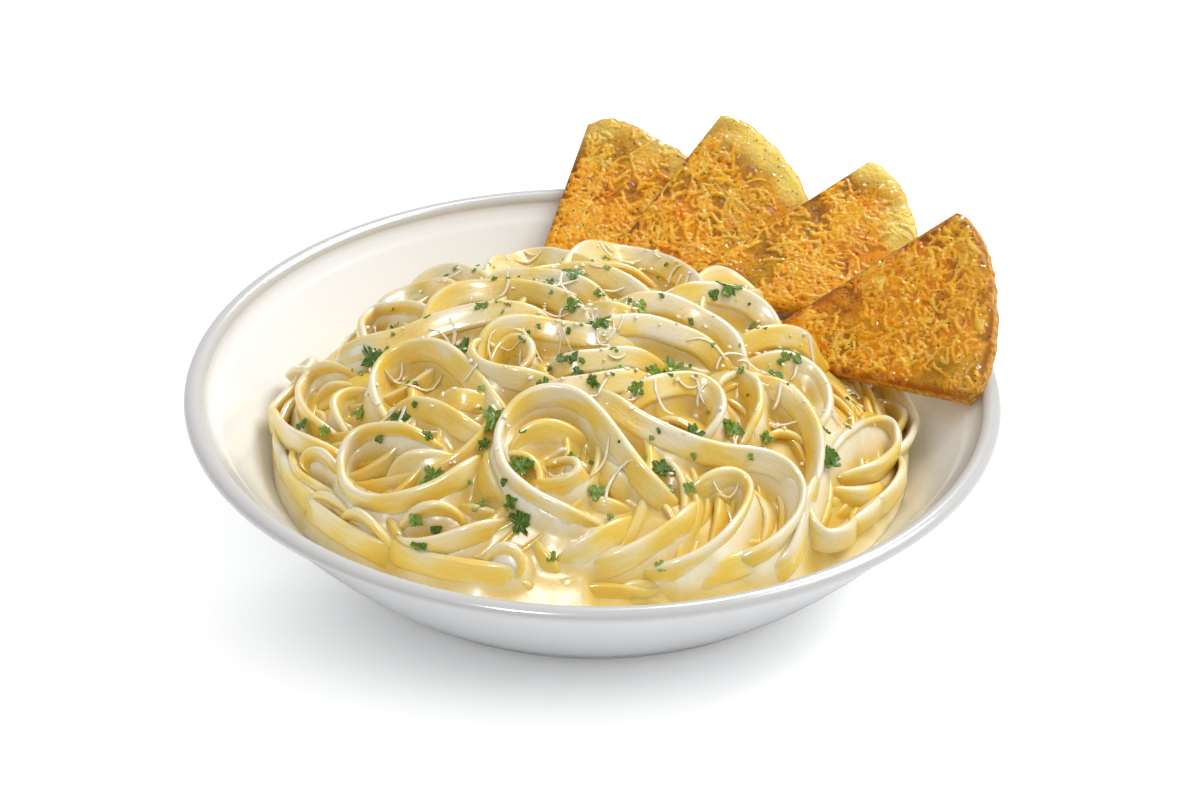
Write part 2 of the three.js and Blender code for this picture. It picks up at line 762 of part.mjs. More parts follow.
// The round path of a noodle through the places where it is seen.
function seenPath({ seen, tilts, top }) {
  const halfHeight = noodle.width / 2 * Math.abs(Math.sin(radians(tilts[1])));
  const spots = seen.map((place) => onHeap(place, (top - halfHeight) * 0.85));
  const curve = new THREE.CatmullRomCurve3(spots, false, 'centripetal');
  const count = Math.max(4, Math.round(curve.getLength() / noodle.step));
  const even = curve.getSpacedPoints(count);
  const path = even.map((_, i) => {
    const window = even.slice(Math.max(0, i - 2), i + 3);
    return window.reduce((sum, spot) => sum.add(spot), new THREE.Vector3()).divideScalar(window.length);
  });
  return { path, step: curve.getLength() / count };
}

// Moves a place inwards until a noodle of this half span and half height is clear of the wall.
function insideWall(place, { halfSpan, halfHeight }) {
  const room = Math.min(innerRadius(place.z) - halfSpan, innerRadius(place.z - halfHeight)) - noodle.wallRoom;
  const r = Math.hypot(place.x, place.y);
  const share = r > room ? room / r : 1;
  return new THREE.Vector3(place.x * share, place.y * share, place.z);
}

// Direction at each place of a path.
const headings = (places) => places.map((_, i) => places[Math.min(i + 1, places.length - 1)].clone()
  .sub(places[Math.max(i - 1, 0)]).normalize());

// One value along a noodle, given at evenly spaced shares of it.
function alongNoodle(values, share) {
  const t = share * (values.length - 1);
  const k = Math.min(Math.floor(t), values.length - 2);
  return values[k] + (values[k + 1] - values[k]) * (t - k);
}

// Lays a noodle along a path: on what is already there, or tucked in at a fixed height. A path that
// is seen keeps its own height where that is more.
function layNoodle({ path, step, tilts, top }, cover, stacked) {
  const [halfWidth, halfThick] = [noodle.width / 2, noodle.thickness / 2];
  const samples = path.map((spot, i) => {
    const lean = radians(alongNoodle(tilts, i / (path.length - 1)));
    const halfHeight = halfWidth * Math.abs(Math.sin(lean)) + halfThick * Math.abs(Math.cos(lean));
    const halfSpan = halfWidth * Math.abs(Math.cos(lean)) + halfThick * Math.abs(Math.sin(lean));
    const ownRise = (spot.z - heapHeight(spot.x, spot.y)) * heapNormal(spot.x, spot.y).z;
    const base = Math.max(top - halfHeight, ownRise);
    const height = heapHeight(spot.x, spot.y) + base;
    const place = insideWall(new THREE.Vector3(spot.x, spot.y, height), { halfSpan, halfHeight });
    return { lean, halfHeight, halfSpan, base, place, normal: heapNormal(place.x, place.y) };
  });
  const flat = headings(samples.map(({ place }) => new THREE.Vector3(place.x, place.y, 0)));
  const support = samples.map(({ place, normal, halfHeight, halfSpan }, i) => {
    const left = new THREE.Vector3().crossVectors(normal, flat[i]).normalize();
    let highest = -heap.coreDrop;
    for (const across of [-1, -0.5, 0, 0.5, 1]) {
      const index = coverIndex(place.x + left.x * across * halfSpan, place.y + left.y * across * halfSpan);
      if (index >= 0) highest = Math.max(highest, cover[index]);
    }
    return highest + halfHeight - noodle.sink;
  });
  const rises = samples.map(({ base }, i) => {
    let height = base;
    for (let j = 0; stacked && j < samples.length; j++) {
      height = Math.max(height, support[j] - ((i - j) * step) ** 2 / (2 * noodle.stiffRadius));
    }
    const toEnd = Math.min(i, samples.length - 1 - i) * step;
    const dive = (1 - THREE.MathUtils.smoothstep(toEnd, 0, noodle.diveLength)) ** 1.5;
    return Math.min(height, base + noodle.maxRise) - noodle.dive * dive;
  });
  const reach = Math.round(5 / step);
  samples.forEach((sample, i) => {
    const window = rises.slice(Math.max(0, i - reach), i + reach + 1);
    sample.rise = window.reduce((sum, value) => sum + value, 0) / window.length;
    const { place, normal } = sample;
    const origin = new THREE.Vector3(place.x, place.y, heapHeight(place.x, place.y))
      .addScaledVector(normal, sample.rise);
    sample.origin = insideWall(origin, sample);
  });
  const forwards = headings(samples.map(({ origin }) => origin));
  samples.forEach((sample, i) => {
    const left = new THREE.Vector3().crossVectors(sample.normal, forwards[i]).normalize();
    const plumb = sample.normal.clone().lerp(Z, noodle.upright).normalize();
    sample.forward = forwards[i];
    sample.side = left.multiplyScalar(Math.cos(sample.lean)).addScaledVector(plumb, Math.sin(sample.lean))
      .normalize();
  });
  return { samples: clearRun(samples), step, halfWidth };
}

// Keeps the longest run of a noodle that is clear of the breads.
function clearRun(samples) {
  let best = [];
  let run = [];
  for (const sample of samples) {
    if (clearOfBreads(sample.origin) > noodle.width / 2 + 1) run.push(sample);
    else run = [];
    if (run.length > best.length) best = run;
  }
  return best;
}

function addToCover({ samples, halfWidth }, cover) {
  for (const { origin, side, normal, rise } of samples) {
    for (let across = -1; across <= 1; across += 0.25) {
      const out = across * halfWidth;
      const index = coverIndex(origin.x + side.x * out, origin.y + side.y * out);
      const height = rise + side.dot(normal) * out + noodle.thickness / 2;
      if (index >= 0) cover[index] = Math.max(cover[index], height);
    }
  }
}

// Which samples of a noodle carry a ring of its solid: more of them where it bends.
function ringPlaces(samples, step) {
  const places = [0];
  let share = 0;
  for (let i = 1; i < samples.length; i++) {
    const turn = samples[i].forward.angleTo(samples[i - 1].forward);
    share += step / noodle.facetLength + turn / radians(noodle.facetTurn);
    if (share < 1 && i < samples.length - 1) continue;
    places.push(i);
    share = 0;
  }
  return places;
}

function noodleSolid({ samples, step }) {
  const frames = [];
  for (const i of ringPlaces(samples, step)) {
    const { origin, forward, side: raised } = samples[i];
    const face = new THREE.Vector3().crossVectors(forward, raised).normalize();
    const side = new THREE.Vector3().crossVectors(face, forward).normalize();
    frames.push({ origin, side, face });
  }
  const w = noodle.width / 2;
  const t = noodle.thickness / 2;
  return sweptSolid(frames, [[-w, -t], [-w, t], [w, t], [w, -t]]);
}

function farNoodles(cover) {
  const random = seeded(farArcs.seed);
  const found = [];
  for (let k = 0; k < farArcs.count; k++) {
    const r = farArcs.outer - farArcs.spacing * k;
    const bearing = between(random, farArcs.bearings);
    const sweep = between(random, farArcs.sweeps);
    const { path, step } = flatPath({
      at: [r * Math.cos(radians(bearing)), r * Math.sin(radians(bearing))],
      heading: bearing + 90 + between(random, [-9, 6]),
      bends: [[r * radians(sweep), sweep]],
    });
    const tilt = between(random, farArcs.tilts);
    const laid = layNoodle({ path, step, tilts: [tilt, tilt], top: farArcs.top }, cover, false);
    addToCover(laid, cover);
    found.push(laid);
  }
  return found;
}

// Short noodles tucked in wherever the laid ones leave the heap bare.
function tuckedNoodles(cover) {
  const random = seeded(tucked.seed);
  const found = [];
  for (let attempt = 0; attempt < tucked.tries && found.length < tucked.count; attempt++) {
    const r = tucked.reach * Math.sqrt(1 - (attempt + 0.5) / tucked.tries);
    const bearing = attempt * 2.39996;
    const length = between(random, tucked.lengths);
    const turn = THREE.MathUtils.radToDeg(length / between(random, tucked.radii));
    const { path, step } = flatPath({
      at: [r * Math.cos(bearing), r * Math.sin(bearing)],
      heading: THREE.MathUtils.radToDeg(bearing) + 90 + between(random, [-40, 40]),
      bends: [[length, turn]],
    });
    const tilt = between(random, [10, 50]);
    const laid = layNoodle({ path, step, tilts: [tilt, tilt], top: tucked.top }, cover, false);
    const covered = laid.samples.filter(({ origin }) => {
      const index = coverIndex(origin.x, origin.y);
      return index < 0 || cover[index] > -heap.coreDrop + 0.1;
    });
    if (laid.samples.length * laid.step < tucked.lengths[0] * 0.7) continue;
    if (covered.length > laid.samples.length * tucked.covered) continue;
    addToCover(laid, cover);
    found.push(laid);
  }
  return found;
}

const coverAt = (cover, x, y) => {
  const index = coverIndex(x, y);
  return heapHeight(x, y) + (index < 0 ? 0 : cover[index]);
};

// How far the covered surface rises and falls within a small leaf's reach.
function unevenness(cover, x, y) {
  const heights = [];
  for (const dx of [-2, 0, 2]) {
    for (const dy of [-2, 0, 2]) heights.push(cover[Math.max(coverIndex(x + dx, y + dy), 0)]);
  }
  return Math.max(...heights) - Math.min(...heights);
}

// How the covered surface slopes around a spot.
function restingNormal(cover, x, y, reach) {
  const dx = coverAt(cover, x - reach, y) - coverAt(cover, x + reach, y);
  const dy = coverAt(cover, x, y - reach) - coverAt(cover, x, y + reach);
  return new THREE.Vector3(dx / (2 * reach), dy / (2 * reach), 1).normalize();
}

const alongSurface = (normal, direction) => new THREE.Vector3(Math.cos(direction), Math.sin(direction), 0)
  .projectOnPlane(normal).normalize();

// A torn parsley leaf: a thin wavy piece with three to five lobes, both faces split alike.
function parsleySolid(place, random) {
  const lobes = 3 + Math.floor(random() * 3);
  const size = between(random, parsley.sizes) / 2;
  const turn = random() * Math.PI * 2;
  const along = alongSurface(place.normal, turn);
  const side = new THREE.Vector3().crossVectors(place.normal, along);
  const outline = [];
  for (let k = 0; k < lobes * 2; k++) {
    const reach = size * (k % 2 ? parsley.notch : between(random, [0.8, 1.15]));
    const angle = Math.PI * k / lobes;
    const height = parsley.wave * Math.sin(k * 2.1);
    outline.push([reach * Math.cos(angle), reach * Math.sin(angle), height]);
  }
  const points = [];
  for (const face of [0.5, -0.5]) {
    for (const [right, up, height] of [[0, 0, 0], ...outline]) {
      points.push(place.spot.clone().addScaledVector(along, right).addScaledVector(side, up)
        .addScaledVector(place.normal, height + parsley.lift + face * parsley.thickness));
    }
  }
  const n = outline.length + 1;
  const triangles = [];
  for (let k = 1; k < n; k++) {
    const next = k % outline.length + 1;
    triangles.push(0, k, next, n, n + next, n + k, k, n + k, next, next, n + k, n + next);
  }
  return outwards(points, triangles);
}

// A shred of hard cheese: a thin strip that lies across the noodles.
function shredSolid(place, random) {
  const length = between(random, shreds.lengths);
  let direction = random() * Math.PI * 2;
  const bend = between(random, [-0.7, 0.7]);
  const spot = place.spot.clone().addScaledVector(place.normal, 0.2);
  const frames = [];
  for (let k = 0; k < 3; k++) {
    const along = alongSurface(place.normal, direction);
    const side = new THREE.Vector3().crossVectors(place.normal, along);
    frames.push({ origin: spot.clone(), side, face: place.normal });
    spot.addScaledVector(along, length / 2);
    direction += bend;
  }
  const w = shreds.width / 2;
  const t = shreds.thickness / 2;
  return sweptSolid(frames, [[-w, -t], [-w, t], [w, t], [w, -t]]);
}

const restingPlace = (cover, x, y) => ({
  spot: new THREE.Vector3(x, y, coverAt(cover, x, y)), normal: restingNormal(cover, x, y, 3),
});

// The leaves, each moved to the most even spot within reach of its place.
function parsleyLeaves(cover) {
  const random = seeded(parsley.seed);
  return parsley.places.map(([x, y]) => {
    let best = { fall: Infinity };
    for (let dx = -parsley.nearby; dx <= parsley.nearby; dx += 1) {
      for (let dy = -parsley.nearby; dy <= parsley.nearby; dy += 1) {
        const fall = unevenness(cover, x + dx, y + dy) + 0.05 * Math.hypot(dx, dy);
        if (fall < best.fall) best = { fall, x: x + dx, y: y + dy };
      }
    }
    return parsleySolid(restingPlace(cover, best.x, best.y), random);
  });
}

// Seeded places for the cheese, thickest in the middle, clear of the breads.
function cheeseShreds(cover) {
  const random = seeded(shreds.seed);
  const solids = [];
  for (let k = 0; solids.length < shreds.count && k < shreds.count * 12; k++) {
    const r = shreds.spread * Math.pow(((k * 0.618) % 1), 0.62);
    const bearing = k * 2.39996 + between(random, [-0.3, 0.3]);
    const x = shreds.middle[0] + r * Math.cos(bearing) * 1.15;
    const y = shreds.middle[1] + r * Math.sin(bearing);
    const place = restingPlace(cover, x, y);
    if (clearOfBreads(place.spot) < 9) continue;
    if (unevenness(cover, x, y) > 1.4) continue;
    solids.push(shredSolid(place, random));
  }
  return solids;
}

function pastaSolid() {
  const cover = newCover();
  const strands = laidNoodles.map((row) => {
    const laid = layNoodle({ ...seenPath(row), tilts: row.tilts, top: row.top }, cover, true);
    addToCover(laid, cover);
    return laid;
  });
  strands.push(...farNoodles(cover), ...tuckedNoodles(cover));
  const pieces = strands.map(noodleSolid);
  pieces.push(...parsleyLeaves(cover), ...cheeseShreds(cover));
  let core = coreSolid();
  for (const wedge of wedges) core = core.subtract(wedgeRoom(wedge));
  core = oneBody(core);
  let joined = pieces.reduce((body, piece) => body.add(piece), core);
  for (const wedge of wedges) joined = joined.subtract(wedgeRoom(wedge));
  return oneBody(joined);
}

// ---- the whole ----

const finish = {
  bowl: { color: 0xeeeeec, roughness: 0.18, metalness: 0 },
  pasta: { color: 0xecd08a, roughness: 0.45, metalness: 0 },
  flatbread: { color: 0xc98f34, roughness: 0.6, metalness: 0 },
};

function node(name, solid, look) {
  const mesh = new THREE.Mesh(toGeometry(solid), new THREE.MeshStandardMaterial(look));
  mesh.name = name;
  return mesh;
}

const dish = new THREE.Group();
dish.add(node('bowl', bowlSolid(), finish.bowl));
dish.add(node('pasta', pastaSolid(), finish.pasta));
wedges.forEach((wedge, k) => dish.add(node(wedge.name, wedgeSolid(wedge, k + 1), finish.flatbread)));

export default dish;
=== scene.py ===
import math

import bpy
import numpy as np
from mathutils import Matrix, Vector


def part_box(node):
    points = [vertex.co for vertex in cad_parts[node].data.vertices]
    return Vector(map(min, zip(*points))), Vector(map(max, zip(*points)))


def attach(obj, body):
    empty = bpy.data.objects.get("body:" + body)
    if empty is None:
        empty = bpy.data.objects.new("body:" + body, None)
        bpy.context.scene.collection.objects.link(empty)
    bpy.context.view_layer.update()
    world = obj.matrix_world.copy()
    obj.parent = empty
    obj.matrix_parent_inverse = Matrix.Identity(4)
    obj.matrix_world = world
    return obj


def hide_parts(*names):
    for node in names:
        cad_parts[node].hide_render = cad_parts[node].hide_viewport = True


# Fettuccine alfredo in a white bowl, with four flatbread wedges on the far rim.
# Shapes are worked out in millimetres and turned into metres when a mesh is made.
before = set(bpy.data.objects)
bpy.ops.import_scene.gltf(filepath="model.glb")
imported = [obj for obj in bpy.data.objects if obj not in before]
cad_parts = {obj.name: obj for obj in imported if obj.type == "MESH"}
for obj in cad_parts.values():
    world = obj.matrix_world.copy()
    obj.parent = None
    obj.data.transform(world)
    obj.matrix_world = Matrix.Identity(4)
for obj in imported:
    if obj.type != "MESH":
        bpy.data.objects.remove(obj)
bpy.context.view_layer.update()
bpy.ops.object.select_all(action="DESELECT")
print("frame loaded")

mm = 0.001


# small tools

def linear(hexColour):
    parts = [int(hexColour[i:i + 2], 16) / 255 for i in (1, 3, 5)]
    return [c / 12.92 if c <= 0.04045 else ((c + 0.055) / 1.055) ** 2.4 for c in parts] + [1.0]


def setInputs(tree, node, inputs):
    # a socket is linked, a hex colour is made linear, any other value is set
    for name, value in inputs.items():
        if isinstance(value, bpy.types.NodeSocket):
            tree.links.new(value, node.inputs[name])
        else:
            node.inputs[name].default_value = linear(value) if isinstance(value, str) else value


def addNode(tree, kind, inputs=None, stops=None, **settings):
    made = tree.nodes.new(kind)
    for name, value in settings.items():
        setattr(made, name, value)
    setInputs(tree, made, inputs or {})
    if stops:
        while len(made.color_ramp.elements) < len(stops):
            made.color_ramp.elements.new(0.5)
        for element, (place, colour) in zip(made.color_ramp.elements, stops):
            element.position = place
            element.color = linear(colour)
    return made


def cellsOf(size):
    # scale of a pattern whose cells are this many millimetres across
    return 1 / (size * mm)


def newMaterial(name):
    material = bpy.data.materials.new(name)
    material.use_nodes = True
    tree = material.node_tree
    tree.nodes.clear()
    surface = addNode(tree, "ShaderNodeBsdfPrincipled")
    output = addNode(tree, "ShaderNodeOutputMaterial")
    tree.links.new(surface.outputs["BSDF"], output.inputs["Surface"])
    return material, tree, surface


def shade(mesh, smooth):
    mesh.polygons.foreach_set("use_smooth", np.full(len(mesh.polygons), smooth))


def addAttributes(mesh, attributes):
    for name, values in attributes.items():
        layer = mesh.attributes.new(name, "FLOAT", "POINT")
        layer.data.foreach_set("value", np.asarray(values, np.float32))


def pieceFromArrays(name, points, faces, attributes=None, uv=None, smooth=True):
    mesh = bpy.data.meshes.new(name)
    mesh.from_pydata((np.asarray(points) * mm).tolist(), [], faces)
    shade(mesh, smooth)
    addAttributes(mesh, attributes or {})
    if uv is not None:
        corners = np.zeros(len(mesh.loops), np.int32)
        mesh.loops.foreach_get("vertex_index", corners)
        layer = mesh.uv_layers.new(name="along")
        layer.data.foreach_set("uv", np.asarray(uv, np.float32)[corners].ravel())
    piece = bpy.data.objects.new(name, mesh)
    bpy.context.scene.collection.objects.link(piece)
    editPiece(piece)
    bpy.ops.mesh.normals_make_consistent(inside=False)
    leaveEdit()
    return piece


def finishPiece(piece, material, node):
    piece.data.materials.clear()
    piece.data.materials.append(material)
    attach(piece, "root")
    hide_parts(node)


def editPiece(piece):
    bpy.ops.object.select_all(action="DESELECT")
    piece.select_set(True)
    bpy.context.view_layer.objects.active = piece
    bpy.ops.object.mode_set(mode="EDIT")
    bpy.ops.mesh.select_all(action="SELECT")


def leaveEdit():
    bpy.ops.object.mode_set(mode="OBJECT")
    bpy.ops.object.select_all(action="DESELECT")


def seeded(seed):
    # the draws that the solids' own rule makes
    state = seed

    def draw():
        nonlocal state
        state = (state + 0x6D2B79F5) & 0xFFFFFFFF
        t = ((state ^ (state >> 15)) * (state | 1)) & 0xFFFFFFFF
        t ^= (t + (((t ^ (t >> 7)) * (t | 61)) & 0xFFFFFFFF)) & 0xFFFFFFFF
        return ((t ^ (t >> 14)) & 0xFFFFFFFF) / 4294967296

    return draw


def between(draw, span):
    return span[0] + (span[1] - span[0]) * draw()


def waver(x, y, seed):
    # smooth noise from -1 to 1 on a lattice of unit cells
    i, j = np.floor(x), np.floor(y)
    u, v = (x - i) ** 2 * (3 - 2 * (x - i)), (y - j) ** 2 * (3 - 2 * (y - j))

    def corner(a, b):
        value = np.sin(a * 127.1 + b * 311.7 + seed * 74.7) * 43758.5453
        return (value - np.floor(value)) * 2 - 1

    low = corner(i, j) * (1 - u) + corner(i + 1, j) * u
    high = corner(i, j + 1) * (1 - u) + corner(i + 1, j + 1) * u
    return low * (1 - v) + high * v


def smoothStep(low, high, value):
    t = np.clip((value - low) / (high - low), 0, 1)
    return t * t * (3 - 2 * t)


def unit(vectors):
    return vectors / np.linalg.norm(vectors, axis=-1, keepdims=True)


# camera, floor and light

view = {
    "target": (2.47, 0, 44.04), "distance": 1200, "elevation": 31.74, "roll": -0.868,
    "lens": 108.3, "sensorWidth": 36, "frame": (1200, 800),
}


def viewAxes():
    # back towards the camera, right and up in its frame
    tilt, roll = math.radians(view["elevation"]), math.radians(view["roll"])
    back = np.array([0, -math.cos(tilt), math.sin(tilt)])
    rise = np.array([0, math.sin(tilt), math.cos(tilt)])
    level = np.array([1, 0, 0])
    right = level * math.cos(roll) - rise * math.sin(roll)
    up = rise * math.cos(roll) + level * math.sin(roll)
    return back, right, up


view["axes"] = viewAxes()


def addCamera():
    back, right, up = (Vector(axis) for axis in view["axes"])
    data = bpy.data.cameras.new("camera")
    data.lens = view["lens"]
    data.sensor_width = view["sensorWidth"]
    camera = bpy.data.objects.new("camera", data)
    bpy.context.scene.collection.objects.link(camera)
    place = (Vector(view["target"]) + back * view["distance"]) * mm
    camera.matrix_world = Matrix.Translation(place) @ Matrix((right, up, back)).transposed().to_4x4()
    bpy.context.scene.camera = camera


studio = {
    "floorSize": 6, "floorColour": "#F2F2F2", "floorGlow": 0.44, "worldStrength": 0.7,
    # the dish's painted shadow on the floor, where the floor's glow fades: its middle, its half width
    # and depth, the shares of these between which it fades, and the glow that is left in it
    "shade": {"middle": (-0.02, -0.07), "reach": (0.088, 0.04), "fade": (0.4, 1.4), "glow": 0.14},
    "key": {"from": (0.8, 0.35, 1.2), "spread": 32, "power": 1.95},
    "glints": [{"from": (0.3, 0.9, 1.2), "size": 0.3, "power": 26},
               {"from": (-0.35, -0.8, 1.2), "size": 0.16, "power": 18}],
}


def mattPaper():
    # matt white paper sweep: a clean, bright ground with a soft contact shadow, partly cast, partly painted
    material, tree, surface = newMaterial("mattPaper")
    # overexposed to white where it is seen, and no brighter than paper for what it lights
    seen = addNode(tree, "ShaderNodeLightPath").outputs["Is Camera Ray"]
    place = addNode(tree, "ShaderNodeTexCoord").outputs["Object"]
    # painted shadow: the glow that only the camera sees fades out round the dish's middle
    paintedShadow = studio["shade"]
    scale = [1 / reach for reach in paintedShadow["reach"]]
    shift = [-middle * by for middle, by in zip(paintedShadow["middle"], scale)]
    around = addNode(tree, "ShaderNodeMapping", {
        "Vector": place, "Location": (*shift, 0), "Scale": (*scale, 0)})
    away = addNode(tree, "ShaderNodeVectorMath", {0: around.outputs["Vector"]}, operation="LENGTH")
    clear = addNode(tree, "ShaderNodeMapRange", {
        "Value": away.outputs["Value"], "From Min": paintedShadow["fade"][0], "From Max": paintedShadow["fade"][1],
        "To Min": paintedShadow["glow"], "To Max": studio["floorGlow"]}, interpolation_type="SMOOTHSTEP")
    glow = addNode(tree, "ShaderNodeMath", {0: seen, 1: clear.outputs["Result"]}, operation="MULTIPLY")
    setInputs(tree, surface, {
        "Base Color": studio["floorColour"], "Roughness": 1.0, "Specular IOR Level": 0.0,
        "Emission Color": (1, 1, 1, 1), "Emission Strength": glow.outputs[0]})
    return material


def addLight(light, place):
    # shining from its place at the middle of the dish
    lamp = bpy.data.objects.new(light.name, light)
    bpy.context.scene.collection.objects.link(lamp)
    lamp.location = place
    lamp.rotation_euler = (-lamp.location).to_track_quat("-Z", "Y").to_euler()
    return lamp


def addStudio():
    bpy.ops.mesh.primitive_plane_add(size=studio["floorSize"])
    floor = bpy.context.object
    floor.name = "studioFloor"
    floor.data.materials.append(mattPaper())
    world = bpy.data.worlds.new("softWhite")
    bpy.context.scene.world = world
    world.use_nodes = True
    setInputs(world.node_tree, world.node_tree.nodes["Background"], {
        "Color": (1, 1, 1, 1), "Strength": studio["worldStrength"]})
    # one broad soft light, high behind the bowl
    key = bpy.data.lights.new("key", "SUN")
    key.energy = studio["key"]["power"]
    key.angle = math.radians(studio["key"]["spread"])
    addLight(key, studio["key"]["from"])
    # small windows of light that show only as glints on what is wet
    for window in studio["glints"]:
        glint = bpy.data.lights.new("glint", "AREA")
        glint.energy = window["power"]
        glint.size = window["size"]
        addLight(glint, window["from"]).visible_diffuse = False
    bpy.context.scene.view_settings.view_transform = "Standard"


addCamera()
addStudio()
bpy.ops.object.select_all(action="DESELECT")
print("camera, floor and lights placed")


# bowl

_, bowlHigh = (np.array(corner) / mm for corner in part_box("bowl"))
bowl = {
    "rimRadius": bowlHigh[0], "height": bowlHigh[2], "footRadius": 82.8, "curve": 1.32,
    "wall": 4.6, "steepest": 1.6,  # the wall is made thicker up to this slope, square to its run
    "wallSpan": (11, 46),  # heights between which the wall is plain inside
    "floor": 5.5, "floorRound": 9,  # the round from the wall to the floor reaches this far in
    "footInset": 2, "footLift": 2.2, "footSide": 1.2,  # the foot's edge is rounded up to the wall
    "lipWidth": 6.4, "lipHeight": 2.6, "lipTurn": (-0.25, math.pi + 0.2),
    "steps": 192, "wallRings": (26, 24), "lipRings": 18, "footRings": 4,
    # the lip colour is painted shade: a greyer tone on the same glaze from these heights up
    "glaze": ("#ECEEF0", "#F0F2F4"), "lipShadeColour": "#C6C5C3", "lipShadeFrom": (47.5, 50.5),
    "poolSize": 71.4, "throwingSize": 22.2, "throwingDepth": 0.6,
}


def outerRadius(z):
    share = np.maximum(z, 0) / bowl["height"]
    return bowl["footRadius"] + (bowl["rimRadius"] - bowl["footRadius"]) * share ** (1 / bowl["curve"])


def innerRadius(z):
    slope = outerRadius(z + 0.5) - outerRadius(np.maximum(z - 0.5, 0.2))
    return outerRadius(z) - bowl["wall"] * np.hypot(1, np.minimum(slope, bowl["steepest"]))


def wallHeight(r):
    # height at which the inner wall has this radius
    heights = np.linspace(*bowl["wallSpan"], 141)
    return np.interp(r, [innerRadius(z) for z in heights], heights)


def bowlProfile():
    # radius and height of each ring, from the foot over the lip to the floor inside
    low, high = bowl["wallSpan"]
    outerRings, innerRings = bowl["wallRings"]
    foot = bowl["footRadius"] - bowl["footInset"]
    footSide = outerRadius(bowl["footLift"]) + bowl["footSide"]
    rings = [(foot, 0)]
    for share in np.linspace(0, 1, bowl["footRings"] + 1)[1:]:
        rings.append((foot + (footSide - foot) * share, bowl["footLift"] * share ** 1.6))
    rings += [(outerRadius(z), z) for z in np.linspace(4, high, outerRings)]
    lip = bowl["lipWidth"] / 2
    for turn in np.linspace(*bowl["lipTurn"], bowl["lipRings"]):
        rings.append((bowl["rimRadius"] - lip + lip * math.cos(turn),
                      bowl["height"] - bowl["lipHeight"] + bowl["lipHeight"] * math.sin(turn)))
    rings += [(innerRadius(z), z) for z in np.linspace(high - 1, low, innerRings)]
    # a soft round from the wall into an almost flat floor
    floorEdge = innerRadius(low) - bowl["floorRound"]
    rings += [(floorEdge + 3.5, bowl["floor"] + 1.9), (floorEdge, bowl["floor"] + 0.7)]
    rings += [(floorEdge * share, bowl["floor"] + 0.5 * share) for share in (0.7, 0.4, 0.1)]
    return rings


def makeBowl(material):
    rings = bowlProfile()
    bpy.ops.mesh.primitive_circle_add(vertices=bowl["steps"], radius=rings[0][0] * mm, fill_type="NOTHING")
    piece = bpy.context.object
    piece.name = "glazedBowl"
    editPiece(piece)
    for (radius, z), (nextRadius, nextZ) in zip(rings, rings[1:]):
        grow = nextRadius / radius
        bpy.ops.mesh.extrude_edges_move(TRANSFORM_OT_translate={"value": (0, 0, (nextZ - z) * mm)})
        bpy.ops.transform.resize(value=(grow, grow, 1), center_override=(0, 0, nextZ * mm))
    bpy.ops.mesh.select_all(action="SELECT")
    bpy.ops.mesh.fill_holes(sides=0)
    bpy.ops.mesh.select_all(action="SELECT")
    bpy.ops.mesh.normals_make_consistent(inside=False)
    leaveEdit()
    shade(piece.data, True)
    finishPiece(piece, material, "bowl")


def glazedStoneware():
    # white glazed stoneware, fired glossy: a clear hard gloss over a slightly uneven body
    material, tree, surface = newMaterial("glazedStoneware")
    place = addNode(tree, "ShaderNodeTexCoord").outputs["Object"]
    pooling = addNode(tree, "ShaderNodeTexNoise", {
        "Vector": place, "Scale": cellsOf(bowl["poolSize"]), "Detail": 2})
    thinGlaze, thickGlaze = bowl["glaze"]
    tone = addNode(tree, "ShaderNodeValToRGB", {"Fac": pooling.outputs["Fac"]},
                   stops=[(0.3, thinGlaze), (0.7, thickGlaze)])
    # painted shade: the lip is greyer from this height up, on the same white glaze
    height = addNode(tree, "ShaderNodeSeparateXYZ", {"Vector": place}).outputs["Z"]
    lipShade = addNode(tree, "ShaderNodeMapRange", {
        "Value": height, "From Min": bowl["lipShadeFrom"][0] * mm, "From Max": bowl["lipShadeFrom"][1] * mm})
    glazed = addNode(tree, "ShaderNodeMix", {
        0: lipShade.outputs["Result"], 6: tone.outputs["Color"], 7: bowl["lipShadeColour"]}, data_type="RGBA")
    rough = addNode(tree, "ShaderNodeMapRange", {
        "Value": pooling.outputs["Fac"], "To Min": 0.13, "To Max": 0.24})
    throwing = addNode(tree, "ShaderNodeTexNoise", {
        "Vector": place, "Scale": cellsOf(bowl["throwingSize"]), "Detail": 1})
    bump = addNode(tree, "ShaderNodeBump", {
        "Height": throwing.outputs["Fac"], "Strength": 0.12, "Distance": bowl["throwingDepth"] * mm})
    setInputs(tree, surface, {
        "IOR": 1.5, "Coat Weight": 0.35, "Coat Roughness": 0.06, "Base Color": glazed.outputs[2],
        "Roughness": rough.outputs["Result"], "Normal": bump.outputs["Normal"]})
    return material


makeBowl(glazedStoneware())
print("bowl made")


# flatbreads

